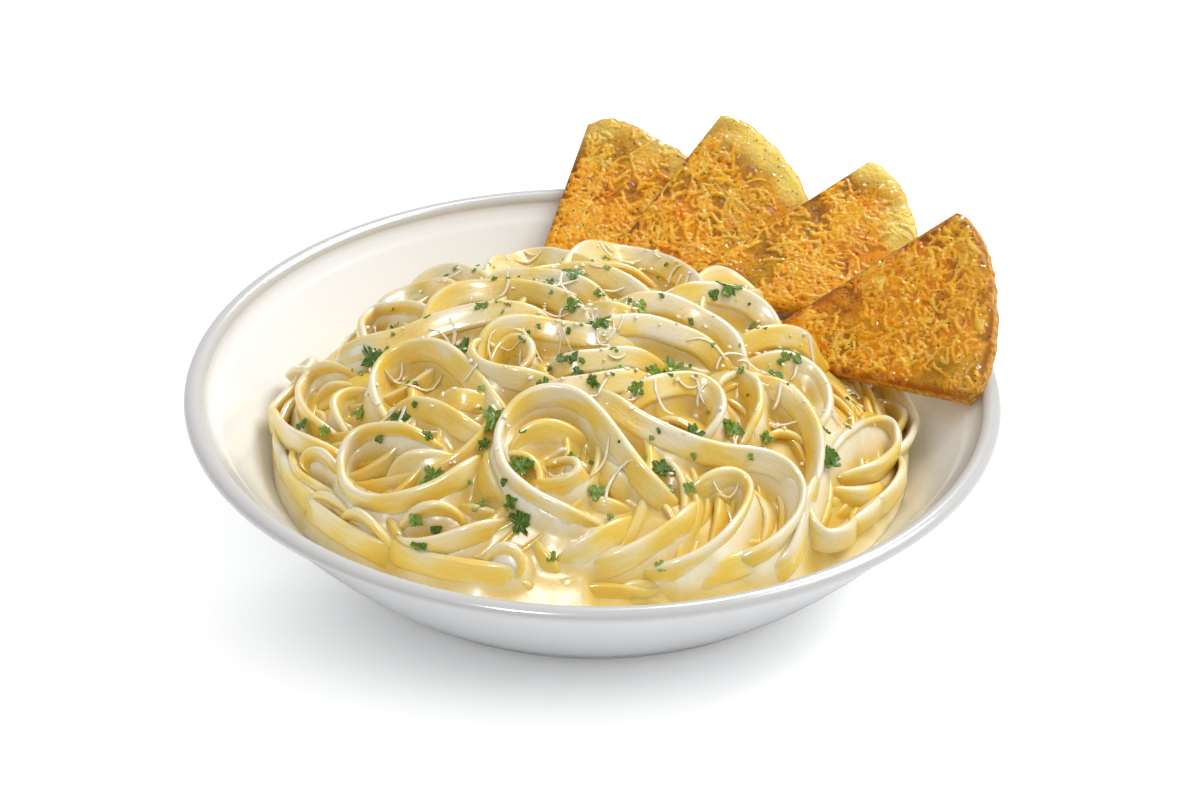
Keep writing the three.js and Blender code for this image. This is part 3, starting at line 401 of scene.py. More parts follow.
flatbread = {
    "angle": 45, "thickness": 6.5, "cornerRounding": 4.5, "edgeDrop": 1.5, "underRound": 0.9,
    "rimWaver": 0.9, "rimNicks": 0.5,  # how far the round edge wavers, and its small nicks
    "crag": 0.75, "pit": 0.3, "torn": 0.35,  # relief of the face, its pits and the torn sides
    "alongSteps": 230, "acrossSteps": 185, "sideSteps": 4,
    "shreds": 700, "shortShreds": (1.5, 4.5), "longShreds": (5, 11), "long": 0.2,
    "shredRadius": 0.78, "shredHeight": 0.8, "shredSteps": 4,
    # colours from the least to the most toasted, melted or torn
    "ground": [(0.05, "#C8900C"), (0.35, "#E49E0E"), (0.6, "#F7A614"), (0.9, "#F4960C")],
    "strands": [(0.0, "#EE960C"), (0.35, "#FAAE1C"), (0.7, "#FFC434"), (1.0, "#FFD65C")],
    "crumb": [(0.35, "#A8640E"), (0.5, "#D89A34"), (0.7, "#EFC468")],
    # the pit colour is painted shade where the face lies low
    "pits": "#8A4A04", "paleCrust": "#FFE170", "burnt": "#AC5C0C", "pepper": "#46300F",
    "mottleSize": 1.667, "crumbSize": 0.909, "crumbDepth": 0.8,
    "pepperSpacing": 1.613, "pepperShare": 0.28, "pepperRadius": 0.19,  # the radius in spacings
}
halfAngle = math.radians(flatbread["angle"] / 2)
# Facing and lean of the face, how far out it passes the rim's level, the tip on that plane (right, up),
# the turn of the middle line, the radius of the round, how much of the point is missing, and how far
# the crust is pale and the edge browned.
wedges = [
    {"node": "flatbread_1", "facing": 76.6, "lean": 54.6, "distance": 112.2, "tip": (-47, -51.9),
     "turn": 28.9, "radius": 92.5, "blunt": 18, "pale": 0.6, "browned": 0.15},
    {"node": "flatbread_2", "facing": 83.8, "lean": 48.4, "distance": 99, "tip": (-17.2, -26.6),
     "turn": 54.6, "radius": 92.5, "blunt": 6, "pale": 1.0, "browned": 0.1},
    {"node": "flatbread_3", "facing": 70.4, "lean": 60.3, "distance": 82.5, "tip": (-1.7, -12),
     "turn": 62, "radius": 92.5, "blunt": 6, "pale": 1.0, "browned": 0.0},
    {"node": "flatbread_4", "facing": 49.2, "lean": 47.2, "distance": 73, "tip": (9.8, -17.3),
     "turn": 56.4, "radius": 95, "blunt": 6, "pale": 0.12, "browned": 0.7},
]


def wedgeFrame(wedge):
    facing, lean = math.radians(wedge["facing"]), math.radians(wedge["lean"])
    outward = np.array([math.cos(facing), math.sin(facing), 0])
    right = np.array([math.sin(facing), -math.cos(facing), 0])
    up = np.array([0, 0, 1.0])
    slope = outward * math.sin(lean) + up * math.cos(lean)
    tipRight, tipUp = wedge["tip"]
    origin = outward * wedge["distance"] + up * bowl["height"] + right * tipRight + slope * tipUp
    return {"origin": origin, "right": right, "slope": slope, "normal": np.cross(right, slope)}


wedgeFrames = [wedgeFrame(wedge) for wedge in wedges]


def clearOfBreads(points):
    # distance of each point from the nearest wedge, negative inside it
    nearest = np.full(len(points), 1e3)
    for wedge, here in zip(wedges, wedgeFrames):
        local = points - here["origin"]
        right, up, height = local @ here["right"], local @ here["slope"], local @ here["normal"]
        reach = np.hypot(right, up)
        angle = np.arctan2(right, up) - math.radians(wedge["turn"])
        angle = np.abs(np.arctan2(np.sin(angle), np.cos(angle))) - halfAngle
        beside = np.where(angle > math.pi / 2, reach, reach * np.sin(angle))
        flat = np.maximum(reach - wedge["radius"], beside)
        deep = np.maximum(height, -flatbread["thickness"] - height)
        outside = np.hypot(np.maximum(flat, 0), np.maximum(deep, 0))
        nearest = np.minimum(nearest, outside + np.minimum(np.maximum(flat, deep), 0))
    return nearest


def meltedShreds(wedge, right, up, seed):
    # height, share and tone of the melted cheese strands at each place on a face
    rng = np.random.default_rng(seed)
    height, share, tone = (np.zeros(len(right)) for _ in range(3))
    turn = math.radians(wedge["turn"])
    made = 0
    while made < flatbread["shreds"]:
        reach = wedge["radius"] * math.sqrt(rng.uniform(0.04, 0.99))
        bearing = turn + halfAngle * rng.uniform(-0.97, 0.97)
        x, y = reach * math.sin(bearing), reach * math.cos(bearing)
        # they lie in drifts, and few of them on the pale crust
        bare = wedge["pale"] * smoothStep(0.78, 0.93, reach / wedge["radius"])
        if rng.uniform() > 0.5 + 0.8 * waver(x / 15, y / 15, seed + 40) - bare:
            continue
        made += 1
        size = rng.uniform(0.55, 1.15)
        length = rng.uniform(*flatbread["longShreds" if rng.uniform() < flatbread["long"] else "shortShreds"])
        heading = rng.uniform(0, 2 * math.pi)
        bend = rng.uniform(-0.4, 0.4)
        stride = length / flatbread["shredSteps"]
        near = np.nonzero(np.maximum(np.abs(right - x), np.abs(up - y)) < length + 2)[0]
        away = np.full(len(near), np.inf)
        for _ in range(flatbread["shredSteps"]):
            dx, dy = math.cos(heading), math.sin(heading)
            along = np.clip((right[near] - x) * dx + (up[near] - y) * dy, 0, stride)
            away = np.minimum(away, np.hypot(right[near] - x - dx * along, up[near] - y - dy * along))
            x, y = x + dx * stride, y + dy * stride
            heading += bend
        bulge = np.sqrt(np.clip(1 - (away / (flatbread["shredRadius"] * size)) ** 2, 0, 1))
        lift = bulge * flatbread["shredHeight"] * size * rng.uniform(0.7, 1.1)
        over = lift > height[near]
        height[near[over]] = lift[over]
        share[near[over]] = smoothStep(0, 0.6, bulge[over]) * rng.uniform(0.55, 1)
        tone[near[over]] = rng.uniform()
    return height, share, tone


def breadBlank(name):
    # a square grid with sides; where each point lies across and along it (-1 to 1) and its layer,
    # from 0 underneath to 1 on the face
    bpy.ops.mesh.primitive_grid_add(x_subdivisions=flatbread["acrossSteps"],
                                    y_subdivisions=flatbread["alongSteps"], size=2)
    piece = bpy.context.object
    piece.name = name
    editPiece(piece)
    for _ in range(flatbread["sideSteps"]):
        bpy.ops.mesh.extrude_region_move(TRANSFORM_OT_translate={"value": (0, 0, 1)})
    bpy.ops.mesh.select_all(action="SELECT")
    bpy.ops.mesh.normals_make_consistent(inside=False)
    leaveEdit()
    plain = np.zeros(len(piece.data.vertices) * 3)
    piece.data.vertices.foreach_get("co", plain)
    across, along, layer = plain.reshape(-1, 3).T
    return piece, across, along, layer / flatbread["sideSteps"]


def makeFlatbread(wedge, here, seed, material):
    piece, share, row, layer = breadBlank(wedge["node"] + "_baked")
    far = wedge["radius"] - flatbread["cornerRounding"] * np.abs(share) ** 7
    far = far + flatbread["rimWaver"] * waver(share * 4, 0.5, seed)
    far = far + flatbread["rimNicks"] * waver(share * 17, 0.5, seed + 8)
    near = wedge["blunt"] * (1 + 0.3 * np.abs(share) ** 3)
    reach = near + (far - near) * (row + 1) / 2
    across = reach * share * halfAngle
    toSide = reach * np.sin(halfAngle * (1 - np.abs(share)))
    toEdge = np.minimum(np.minimum(toSide, far - reach), reach - near)
    bearing = math.radians(wedge["turn"]) + share * halfAngle
    # the sides of the crumb are torn a little, most in the middle of the thickness
    torn = waver(reach / 2.3 + layer * 5, across / 2.3, seed + 11) * np.sin(math.pi * layer)
    reach = reach + np.where(toEdge < 0.05, flatbread["torn"] * torn, 0)
    right, up = reach * np.sin(bearing), reach * np.cos(bearing)
    crags = 0.6 * waver(reach / 7, across / 7, seed) + 0.4 * waver(reach / 3.1, across / 3.1, seed + 5)
    crags = flatbread["crag"] * crags * (1 - np.exp(-toEdge / 0.8))
    crags = crags - flatbread["edgeDrop"] * np.exp(-toEdge / 1.3)
    strands, strandShare, strandTone = meltedShreds(wedge, right, up, 50 + seed)
    pits = 0.5 * waver(right / 1.1, up / 1.1, seed + 21) + 0.5 * waver(right / 0.62, up / 0.62, seed + 22)
    pits = flatbread["pit"] * pits * (1 - np.exp(-toEdge / 0.8))
    relief = crags + strands * (1 - np.exp(-toEdge / 0.7)) + pits
    onFace, isUnder = layer > 0.99, layer < 0.01
    under = -flatbread["thickness"] + flatbread["underRound"] * np.exp(-toEdge / 1.1)
    side = -flatbread["edgeDrop"] - (1 - layer) * (flatbread["thickness"] - flatbread["edgeDrop"])
    height = np.where(onFace, relief, np.where(isUnder, under, side))
    points = here["origin"] + np.outer(right, here["right"]) + np.outer(up, here["slope"])
    points = points + np.outer(height, here["normal"])
    piece.data.vertices.foreach_set("co", (points * mm).ravel())
    toCrust = (far - reach) / wedge["radius"] + 0.06 * waver(right / 8, up / 8, seed + 33)
    burntTo = toEdge + 2.5 * waver(right / 5, up / 5, seed + 34)
    addAttributes(piece.data, {
        "strand": strandShare * onFace,
        "ripe": strandTone,
        "face": smoothStep(-0.1, 0.6, toEdge) * onFace,
        "toast": 0.6 * waver(right / 19, up / 19, seed + 31) + 0.4 * waver(right / 7, up / 7, seed + 32),
        "crust": wedge["pale"] * (1 - smoothStep(0.02, 0.16, toCrust)),
        "burnt": wedge["browned"] * (1 - smoothStep(0.5, 4, burntTo)),
        "raised": relief,
    })
    shade(piece.data, True)
    piece.data.update()
    editPiece(piece)
    bpy.ops.mesh.remove_doubles(threshold=1e-6)
    bpy.ops.mesh.normals_make_consistent(inside=False)
    leaveEdit()
    finishPiece(piece, material, wedge["node"])


def bakedCheeseBread():
    # oven-baked flatbread under browned cheese: oily gold face, orange patches, pale cut crumb
    material, tree, surface = newMaterial("bakedCheeseBread")
    place = addNode(tree, "ShaderNodeTexCoord").outputs["Object"]
    toast, strand, ripe, face, crust, burnt, raised = (
        addNode(tree, "ShaderNodeAttribute", attribute_name=name).outputs["Fac"]
        for name in ("toast", "strand", "ripe", "face", "crust", "burnt", "raised"))
    mottle = addNode(tree, "ShaderNodeTexNoise", {
        "Vector": place, "Scale": cellsOf(flatbread["mottleSize"]), "Detail": 3,
        "Roughness": 0.6}).outputs["Fac"]
    toasted = addNode(tree, "ShaderNodeMath", {0: toast, 1: mottle}, operation="ADD").outputs[0]
    ground, gold, crumb = (
        addNode(tree, "ShaderNodeValToRGB", {"Fac": amount}, stops=flatbread[stops]).outputs["Color"]
        for amount, stops in ((toasted, "ground"), (ripe, "strands"), (mottle, "crumb")))
    # painted shade: the face darkens to the pit colour where it lies low, in pits and beside the strands
    low = addNode(tree, "ShaderNodeMapRange", {
        "Value": raised, "From Min": -0.7, "From Max": 0.3, "To Min": 0.9, "To Max": 0.0}).outputs["Result"]
    # each tone lies over those before it
    tone = ground
    for amount, over in ((low, flatbread["pits"]), (strand, gold), (crust, flatbread["paleCrust"]),
                         (burnt, flatbread["burnt"])):
        tone = addNode(tree, "ShaderNodeMix", {0: amount, 6: tone, 7: over}, data_type="RGBA").outputs[2]
    tone = addNode(tree, "ShaderNodeMix", {0: face, 6: crumb, 7: tone}, data_type="RGBA").outputs[2]
    # ground pepper and dried herb, specks of about half a millimetre some 3 mm apart
    grains = addNode(tree, "ShaderNodeTexVoronoi", {
        "Vector": place, "Scale": cellsOf(flatbread["pepperSpacing"]), "Randomness": 1.0})
    keep = addNode(tree, "ShaderNodeSeparateColor", {"Color": grains.outputs["Color"]}).outputs["Red"]
    speck = face
    for value, limit in ((grains.outputs["Distance"], flatbread["pepperRadius"]),
                         (keep, flatbread["pepperShare"])):
        less = addNode(tree, "ShaderNodeMath", {0: value, 1: limit}, operation="LESS_THAN").outputs[0]
        speck = addNode(tree, "ShaderNodeMath", {0: less, 1: speck}, operation="MULTIPLY").outputs[0]
    peppered = addNode(tree, "ShaderNodeMix", {0: speck, 6: tone, 7: flatbread["pepper"]}, data_type="RGBA")
    rough = addNode(tree, "ShaderNodeMapRange", {"Value": mottle, "To Min": 0.3, "To Max": 0.62})
    grit = addNode(tree, "ShaderNodeTexNoise", {
        "Vector": place, "Scale": cellsOf(flatbread["crumbSize"]), "Detail": 4, "Roughness": 0.7})
    bump = addNode(tree, "ShaderNodeBump", {
        "Height": grit.outputs["Fac"], "Strength": 0.8, "Distance": flatbread["crumbDepth"] * mm})
    setInputs(tree, surface, {
        "IOR": 1.45, "Specular IOR Level": 0.05, "Coat Weight": 0.3, "Coat Roughness": 0.1,
        "Base Color": peppered.outputs[2], "Roughness": rough.outputs["Result"],
        "Normal": bump.outputs["Normal"]})
    return material


breadMaterial = bakedCheeseBread()
for number, (wedge, here) in enumerate(zip(wedges, wedgeFrames), start=1):
    makeFlatbread(wedge, here, number, breadMaterial)
print("flatbreads made")


# the heap of noodles

heap = {
    "radius": 110, "crown": 78, "power": 2.5, "coreDrop": 5.2,
    "farEdge": 27, "nearEdge": 34,  # the heap meets the wall this high behind and in front
    "gridReach": 116,  # half the width of the grids that hold heights over it
    "toppingReach": 98,  # crumbs lie within this
}
noodle = {
    "width": 8.5, "thickness": 2.8, "step": 2.5, "seed": 5,
    "ease": 14,  # a bend comes and goes over this length
    "sink": 1.2, "stiffRadius": 26, "maxRise": 2.4,  # how it lies in what is under it, and arches over it
    "upright": 0.75,  # share of the plumb line, not the heap's slope, in what stands up
    "dive": 8, "diveLength": 15,  # ends run down between their neighbours
    "wallRoom": 1.2,
    # unevenness: the flat is cupped, its edges are ruffled, and it twists and swells along its run
    "cup": 0.3, "cupShare": (-1, 1.6), "ruffle": 0.28, "ruffleRun": 7.5, "twist": 7, "twistRun": 26,
    "swelling": 0.05, "swellingRun": 17, "widthShare": (-0.05, 0.03), "thicker": 0.1, "thickerRun": 11,
    # how much sauce coats the skin: everywhere, in patches, on the edges; and paler cream facing up and each
    # mm higher
    "coat": {"all": 0.38, "patches": 0.65, "edges": 0.12, "facing": 0.3, "height": 0.05},
    "skin": [(0.0, "#E8C138"), (0.35, "#E9CA5E"), (0.65, "#E8D698"), (1.0, "#E7DCC0")],  # bare to coated
    # the deep colour is painted shade, down in the gaps
    "deep": "#DDAF28",  # down in the gaps
    "streakSize": 1.538, "streakStretch": 0.17, "streaks": 0.17, "grainSize": 1.111, "grainDepth": 0.4,
}
# The noodles that show, in the order in which they are laid: the places that each passes, as the
# camera sees them in its frame, then the tilt of its flat from the heap at its start, middle and
# end (its left edge raised), and its height over the heap.
drawnNoodles = [
    # low along the wall
    ([(276, 452), (282, 472), (297, 500), (322, 530), (352, 553), (385, 570)], (50, 55, 50), -6.5),
    # along the left rim
    ([(263, 420), (264, 440), (273, 462), (284, 482), (297, 500)], (60, 65, 60), -2),
    ([(270, 455), (281, 478), (295, 500), (315, 520), (340, 538)], (60, 60, 60), -2.5),
    ([(290, 500), (310, 522), (335, 542), (365, 558), (400, 574)], (55, 60, 50), -2.5),
    ([(286, 450), (286, 466), (291, 482), (303, 497), (322, 507), (342, 515)], (55, 70, 60), -1),
    # small rings at the left front
    ([(345, 500), (336, 485), (331, 471), (319, 464), (306, 467), (300, 478), (300, 495)], (80, 80, 80), 0),
    ([(350, 540), (345, 524), (334, 513), (318, 508), (306, 515), (309, 530)], (80, 80, 80), -0.5),
    ([(391, 564), (381, 549), (370, 532), (354, 522), (338, 530), (335, 545)], (80, 80, 80), 0),
    ([(368, 518), (380, 530), (390, 545), (400, 562)], (60, 60, 60), -1),
    # upper left
    ([(315, 355), (333, 350), (352, 343), (372, 334)], (25, 30, 40), -1.5),
    ([(445, 321), (421, 317), (396, 317), (377, 322), (362, 334), (355, 352)], (82, 80, 80), 0),
    ([(360, 330), (374, 313), (393, 302), (418, 296), (449, 294), (470, 297)], (60, 66, 60), 0),
    ([(398, 298), (417, 288), (443, 282), (474, 283), (500, 290)], (50, 60, 55), 0),
    ([(420, 331), (434, 314), (458, 300), (486, 294), (515, 292), (540, 295), (563, 303), (581, 318),
      (588, 332)], (60, 60, 40), 0.8),
    # left loop
    ([(303, 420), (316, 404), (333, 396), (352, 392)], (70, 75, 70), -2),
    ([(338, 440), (333, 425), (334, 407), (345, 396), (362, 391)], (75, 75, 75), -0.5),
    ([(352, 377), (333, 376), (314, 384), (303, 396), (299, 411), (303, 425), (314, 436), (332, 446)],
     (82, 82, 60), 0),
    ([(325, 379), (300, 384), (280, 394), (271, 412), (277, 432), (290, 446), (311, 455), (334, 461)],
     (70, 70, 50), 0.8),
    ([(318, 375), (340, 366), (362, 357), (390, 345), (418, 334), (443, 324), (470, 316), (500, 312),
      (531, 313), (560, 318)], (40, 45, 40), 0.5),
    ([(378, 428), (390, 414), (415, 409), (440, 417), (462, 430), (490, 436)], (70, 35, 40), 0),
    ([(383, 425), (374, 408), (373, 388), (383, 368), (405, 355), (432, 352), (452, 363), (470, 381),
      (484, 400), (500, 416)], (75, 70, 25), 0.8),
    ([(425, 398), (450, 404), (475, 403), (495, 396)], (30, 30, 40), -0.5),
    # top
    ([(482, 286), (500, 271), (520, 261), (540, 258), (565, 262), (590, 268), (612, 278)],
     (50, 50, 45), 0.3),
    ([(560, 268), (585, 260), (612, 255), (640, 259), (668, 268), (690, 281), (702, 297), (700, 312)],
     (50, 55, 70), 0.6),
    ([(462, 300), (485, 290), (512, 286), (545, 286), (575, 290), (600, 300), (612, 313)],
     (50, 60, 50), 0.3),
    ([(530, 281), (560, 278), (590, 280), (620, 286), (646, 297), (668, 308)], (45, 50, 50), 0.3),
    ([(575, 303), (592, 313), (615, 320), (640, 320), (665, 315)], (45, 45, 45), 0),
    ([(490, 366), (496, 353), (510, 347), (526, 351), (532, 363), (520, 372), (503, 371)],
     (70, 70, 70), -0.5),
    ([(500, 352), (485, 345), (471, 352), (468, 367), (481, 379), (505, 385), (535, 385), (565, 380)],
     (80, 80, 50), 0.3),
    ([(478, 362), (484, 347), (496, 336), (518, 331), (545, 331), (575, 335), (603, 340), (628, 335),
      (648, 325)], (70, 45, 35), 0.8),
    ([(540, 362), (565, 366), (592, 363), (620, 358), (648, 356), (672, 362)], (40, 35, 40), 0),
    ([(520, 396), (548, 391), (578, 389), (610, 384), (640, 378), (668, 376)], (35, 30, 40), 0.2),
    ([(570, 345), (600, 335), (630, 331), (660, 333), (690, 340), (718, 352), (735, 366)],
     (40, 40, 50), 0.4),
    ([(600, 312), (630, 308), (662, 309), (694, 317), (720, 331), (738, 350), (748, 374)],
     (45, 50, 60), 0.8),
    # back right
    ([(822, 352), (843, 353), (858, 368), (864, 385)], (75, 75, 75), -1),
    ([(815, 328), (843, 326), (865, 335), (879, 353), (885, 374), (878, 393)], (70, 74, 76), 0.6),
    ([(700, 276), (725, 277), (750, 280), (776, 287), (800, 301), (817, 320), (823, 342), (818, 362)],
     (45, 60, 75), 1),
    ([(735, 300), (760, 301), (785, 306), (806, 320), (817, 340), (815, 358)], (60, 72, 80), 1),
    ([(655, 300), (690, 298), (722, 301), (750, 309), (775, 324), (792, 342)], (45, 55, 60), 1),
    # far right
    ([(862, 402), (880, 399), (897, 410), (905, 430), (900, 450)], (75, 78, 78), -0.8),
    ([(852, 392), (862, 383), (882, 379), (901, 389), (912, 410), (912, 434), (904, 456), (891, 472)],
     (78, 76, 76), 0.8),
    ([(735, 338), (765, 338), (795, 343), (825, 353), (850, 369), (864, 390), (865, 413), (854, 432)],
     (40, 60, 76), 1),
    ([(750, 360), (775, 361), (800, 368), (819, 384), (829, 406), (826, 428), (815, 440)],
     (45, 62, 76), 0.6),
    ([(728, 366), (744, 375), (756, 390), (760, 411), (752, 434), (744, 448)], (50, 66, 72), 0.6),
    ([(745, 378), (765, 386), (788, 402), (806, 426), (816, 453), (817, 480), (810, 505), (803, 520)],
     (50, 62, 72), 1),
    ([(612, 408), (635, 398), (663, 388), (695, 383), (714, 393), (721, 414), (711, 433), (695, 445)],
     (35, 45, 76), 0.6),
    # right, by the wall
    ([(830, 492), (846, 503), (866, 506), (886, 500), (898, 486)], (70, 74, 74), -0.6),
    ([(905, 455), (906, 475), (899, 497), (883, 515), (862, 527)], (104, 106, 106), -0.6),
    ([(897, 500), (884, 520), (862, 540), (838, 556)], (104, 104, 100), -3.5),
    ([(843, 484), (866, 482), (888, 470), (897, 449), (888, 434), (868, 432), (848, 441), (832, 455),
      (818, 476)], (80, 82, 60), 0.8),
    ([(815, 498), (808, 520), (811, 540), (827, 551), (845, 546), (860, 534), (866, 518)],
     (80, 80, 80), 0.5),
    ([(762, 590), (783, 578), (797, 556), (803, 534), (807, 510), (818, 490), (834, 478)], (60, 76, 70), 1),
    # inside the nest
    ([(585, 455), (600, 471), (613, 486), (632, 499), (645, 515)], (40, 40, 40), -1.5),
    ([(570, 505), (592, 512), (618, 518), (642, 526)], (40, 40, 40), -2),
    ([(512, 470), (513, 455), (526, 442), (548, 436), (571, 440), (590, 450)], (70, 60, 50), -1),
    ([(543, 464), (562, 462), (579, 468), (586, 480), (577, 492), (557, 496), (536, 492), (522, 482)],
     (110, 112, 112), 0.3),
    # between the rings
    ([(478, 440), (480, 462), (484, 485), (494, 505), (510, 520)], (50, 50, 50), -0.5),
    ([(382, 494), (388, 477), (408, 467), (432, 462), (455, 462)], (60, 55, 40), -0.5),
    # front left ring
    ([(440, 452), (424, 445), (405, 439), (380, 437), (358, 444), (345, 460), (341, 482), (348, 502),
      (367, 512), (393, 513), (421, 504), (449, 491), (470, 472), (481, 455)], (82, 82, 70), 1),
    # front
    ([(372, 548), (392, 563), (430, 575), (470, 582), (505, 586), (545, 590)], (60, 55, 35), -1.5),
    ([(480, 585), (488, 566), (504, 556), (519, 562), (522, 577), (512, 592)], (100, 98, 98), -0.3),
    ([(440, 515), (462, 517), (485, 521), (508, 527)], (50, 50, 50), 0),
    ([(455, 538), (457, 525), (445, 516), (425, 519), (405, 528), (392, 540)], (80, 80, 80), 0),
    ([(385, 540), (395, 552), (412, 557), (436, 555), (464, 545), (492, 533), (516, 524)],
     (78, 72, 66), 0.8),
    ([(522, 545), (532, 556), (546, 572), (556, 590)], (50, 50, 50), -0.5),
    ([(660, 600), (695, 592), (730, 582), (768, 568), (800, 548)], (40, 45, 50), -3.4),
    ([(556, 575), (570, 563), (590, 552), (611, 539), (633, 527), (650, 517)], (50, 45, 45), 0.4),
    ([(575, 578), (597, 573), (622, 565), (647, 554), (671, 538), (694, 518), (712, 500)],
     (50, 48, 48), 0.6),
    ([(684, 514), (658, 501), (638, 482), (620, 457), (604, 434), (588, 414), (566, 402), (539, 403),
      (517, 413), (502, 432), (498, 455), (502, 476), (516, 495), (541, 511), (570, 526), (604, 537)],
     (132, 100, 66), 1),
    ([(690, 505), (703, 492), (718, 484), (735, 481), (748, 488), (751, 505), (741, 527), (721, 551),
      (696, 570), (668, 581), (640, 586)], (60, 84, 112), 1),
    ([(585, 388), (607, 405), (632, 421), (658, 435), (686, 448), (717, 457), (745, 461), (770, 468),
      (788, 480), (798, 498), (798, 518), (787, 538), (769, 556), (748, 567), (725, 573)],
     (40, 50, 114), 1.2),
]
# noodles that run round the far side, one inside the other
farArcs = {
    "count": 6, "seed": 12, "outer": 95, "spacing": 13, "top": -1.8,
    "bearings": (52, 84), "headings": (-9, 6), "sweeps": (80, 118), "tilts": (16, 44),
}
# more noodles show in every gap, each layer lower than the one before, placed along a spiral
filling = {
    "reach": 108, "spiralTurn": 2.39996, "radii": (16, 60), "headings": (-40, 40),
    "behind": 20, "flatter": 0.45,  # past this depth their tilt is less
    "shortest": 0.7, "clear": 1.2,  # a share of the least length; shows where nothing lies within this
    "layers": [
        {"count": 45, "tries": 800, "seed": 61, "top": -2.2, "shows": 18,
         "lengths": (46, 96), "tilts": (25, 70)},
        {"count": 45, "tries": 900, "seed": 64, "top": -2.6, "shows": 15,
         "lengths": (24, 50), "tilts": (15, 60)},
        {"count": 60, "tries": 800, "seed": 62, "top": -4, "shows": 12,
         "lengths": (40, 90), "tilts": (20, 70)},
        {"count": 60, "tries": 800, "seed": 63, "top": -5.8, "shows": 7,
         "lengths": (30, 80), "tilts": (15, 60)},
    ],
}


def heapEdge(y):
    return heap["farEdge"] + (heap["nearEdge"] - heap["farEdge"]) * smoothStep(70, -70, y)


def heapHeight(x, y):
    share = np.minimum(np.hypot(x, y) / heap["radius"], 1.06)
    edge = heapEdge(y)
    return edge + (heap["crown"] - edge) * (1 - share ** heap["power"])


def heapNormal(x, y):
    d = 0.5
    dx = (heapHeight(x - d, y) - heapHeight(x + d, y)) / (2 * d)
    dy = (heapHeight(x, y - d) - heapHeight(x, y + d)) / (2 * d)
    return unit(np.stack([dx, dy, np.ones_like(dx)], -1))


class Cover:
    # heights of what lies on the heap, over the heap's own surface, on a square grid

    def __init__(self, cell, start):
        self.cell = cell
        self.size = heap["gridReach"]
        self.count = round(2 * self.size / cell) + 1
        self.height = np.full((self.count, self.count), float(start))

    def index(self, x, y):
        i = np.floor((np.asarray(x) + self.size) / self.cell + 0.5).astype(int)
        j = np.floor((np.asarray(y) + self.size) / self.cell + 0.5).astype(int)
        return np.clip(j, 0, self.count - 1), np.clip(i, 0, self.count - 1)

    def at(self, x, y):
        return self.height[self.index(x, y)]

    def raiseTo(self, x, y, height):
        np.maximum.at(self.height, self.index(x, y), height)

    def smoothAt(self, x, y):
        # bilinear
        u = np.clip((np.asarray(x) + self.size) / self.cell, 0, self.count - 1.001)
        v = np.clip((np.asarray(y) + self.size) / self.cell, 0, self.count - 1.001)
        i, j = u.astype(int), v.astype(int)
        a, b = u - i, v - j
        h = self.height
        low = h[j, i] * (1 - a) + h[j, i + 1] * a
        high = h[j + 1, i] * (1 - a) + h[j + 1, i + 1] * a
        return low * (1 - b) + high * b


def onHeap(px, py, lift):
    # where the sight line through a place in the frame meets the heap raised by lift, or passes
    # nearest to it
    back, right, up = view["axes"]
    wide, high = view["frame"]
    focal = wide * view["lens"] / view["sensorWidth"]
    ray = unit(right * ((px - wide / 2) / focal) - up * ((py - high / 2) / focal) - back)
    start = np.array(view["target"]) + back * view["distance"]
    reach = view["distance"] + np.linspace(-160, 160, 641)  # half a millimetre apart
    spots = start + np.outer(reach, ray)
    past = np.maximum(np.hypot(spots[:, 0], spots[:, 1]) - 1.03 * heap["radius"], 0)
    over = spots[:, 2] - heapHeight(spots[:, 0], spots[:, 1]) - lift + 4 * past
    below = np.nonzero(over < 0)[0]
    if len(below) == 0:
        return spots[over.argmin()]
    k = max(below[0], 1)
    share = over[k - 1] / (over[k - 1] - over[k])
    return spots[k - 1] + (spots[k] - spots[k - 1]) * share


def smoothed(values, reach):
    return np.array([values[max(0, i - reach):i + reach + 1].mean(axis=0) for i in range(len(values))])


def throughPoints(places):
    # a round curve through the places, evenly sampled
    ends = [2 * places[0] - places[1], 2 * places[-1] - places[-2]]
    padded = np.array([ends[0], *places, ends[1]])
    knots = np.concatenate([[0], np.cumsum(np.sqrt(np.linalg.norm(np.diff(padded, axis=0), axis=1)))])
    curve = []
    for k in range(1, len(padded) - 2):
        t = np.linspace(knots[k], knots[k + 1], 24, endpoint=False)[:, None]
        t0, t1, t2, t3 = knots[k - 1:k + 3]
        p0, p1, p2, p3 = padded[k - 1:k + 3]
        a1 = p0 + (p1 - p0) * (t - t0) / (t1 - t0)
        a2 = p1 + (p2 - p1) * (t - t1) / (t2 - t1)
        a3 = p2 + (p3 - p2) * (t - t2) / (t3 - t2)
        b1 = a1 + (a2 - a1) * (t - t0) / (t2 - t0)
        b2 = a2 + (a3 - a2) * (t - t1) / (t3 - t1)
        curve.append(b1 + (b2 - b1) * (t - t1) / (t2 - t1))
    curve = np.concatenate([*curve, [places[-1]]])
    along = np.concatenate([[0], np.cumsum(np.linalg.norm(np.diff(curve, axis=0), axis=1))])
    count = max(4, round(along[-1] / noodle["step"]))
    even = np.linspace(0, along[-1], count + 1)
    return np.stack([np.interp(even, along, curve[:, k]) for k in range(3)], -1), along[-1] / count


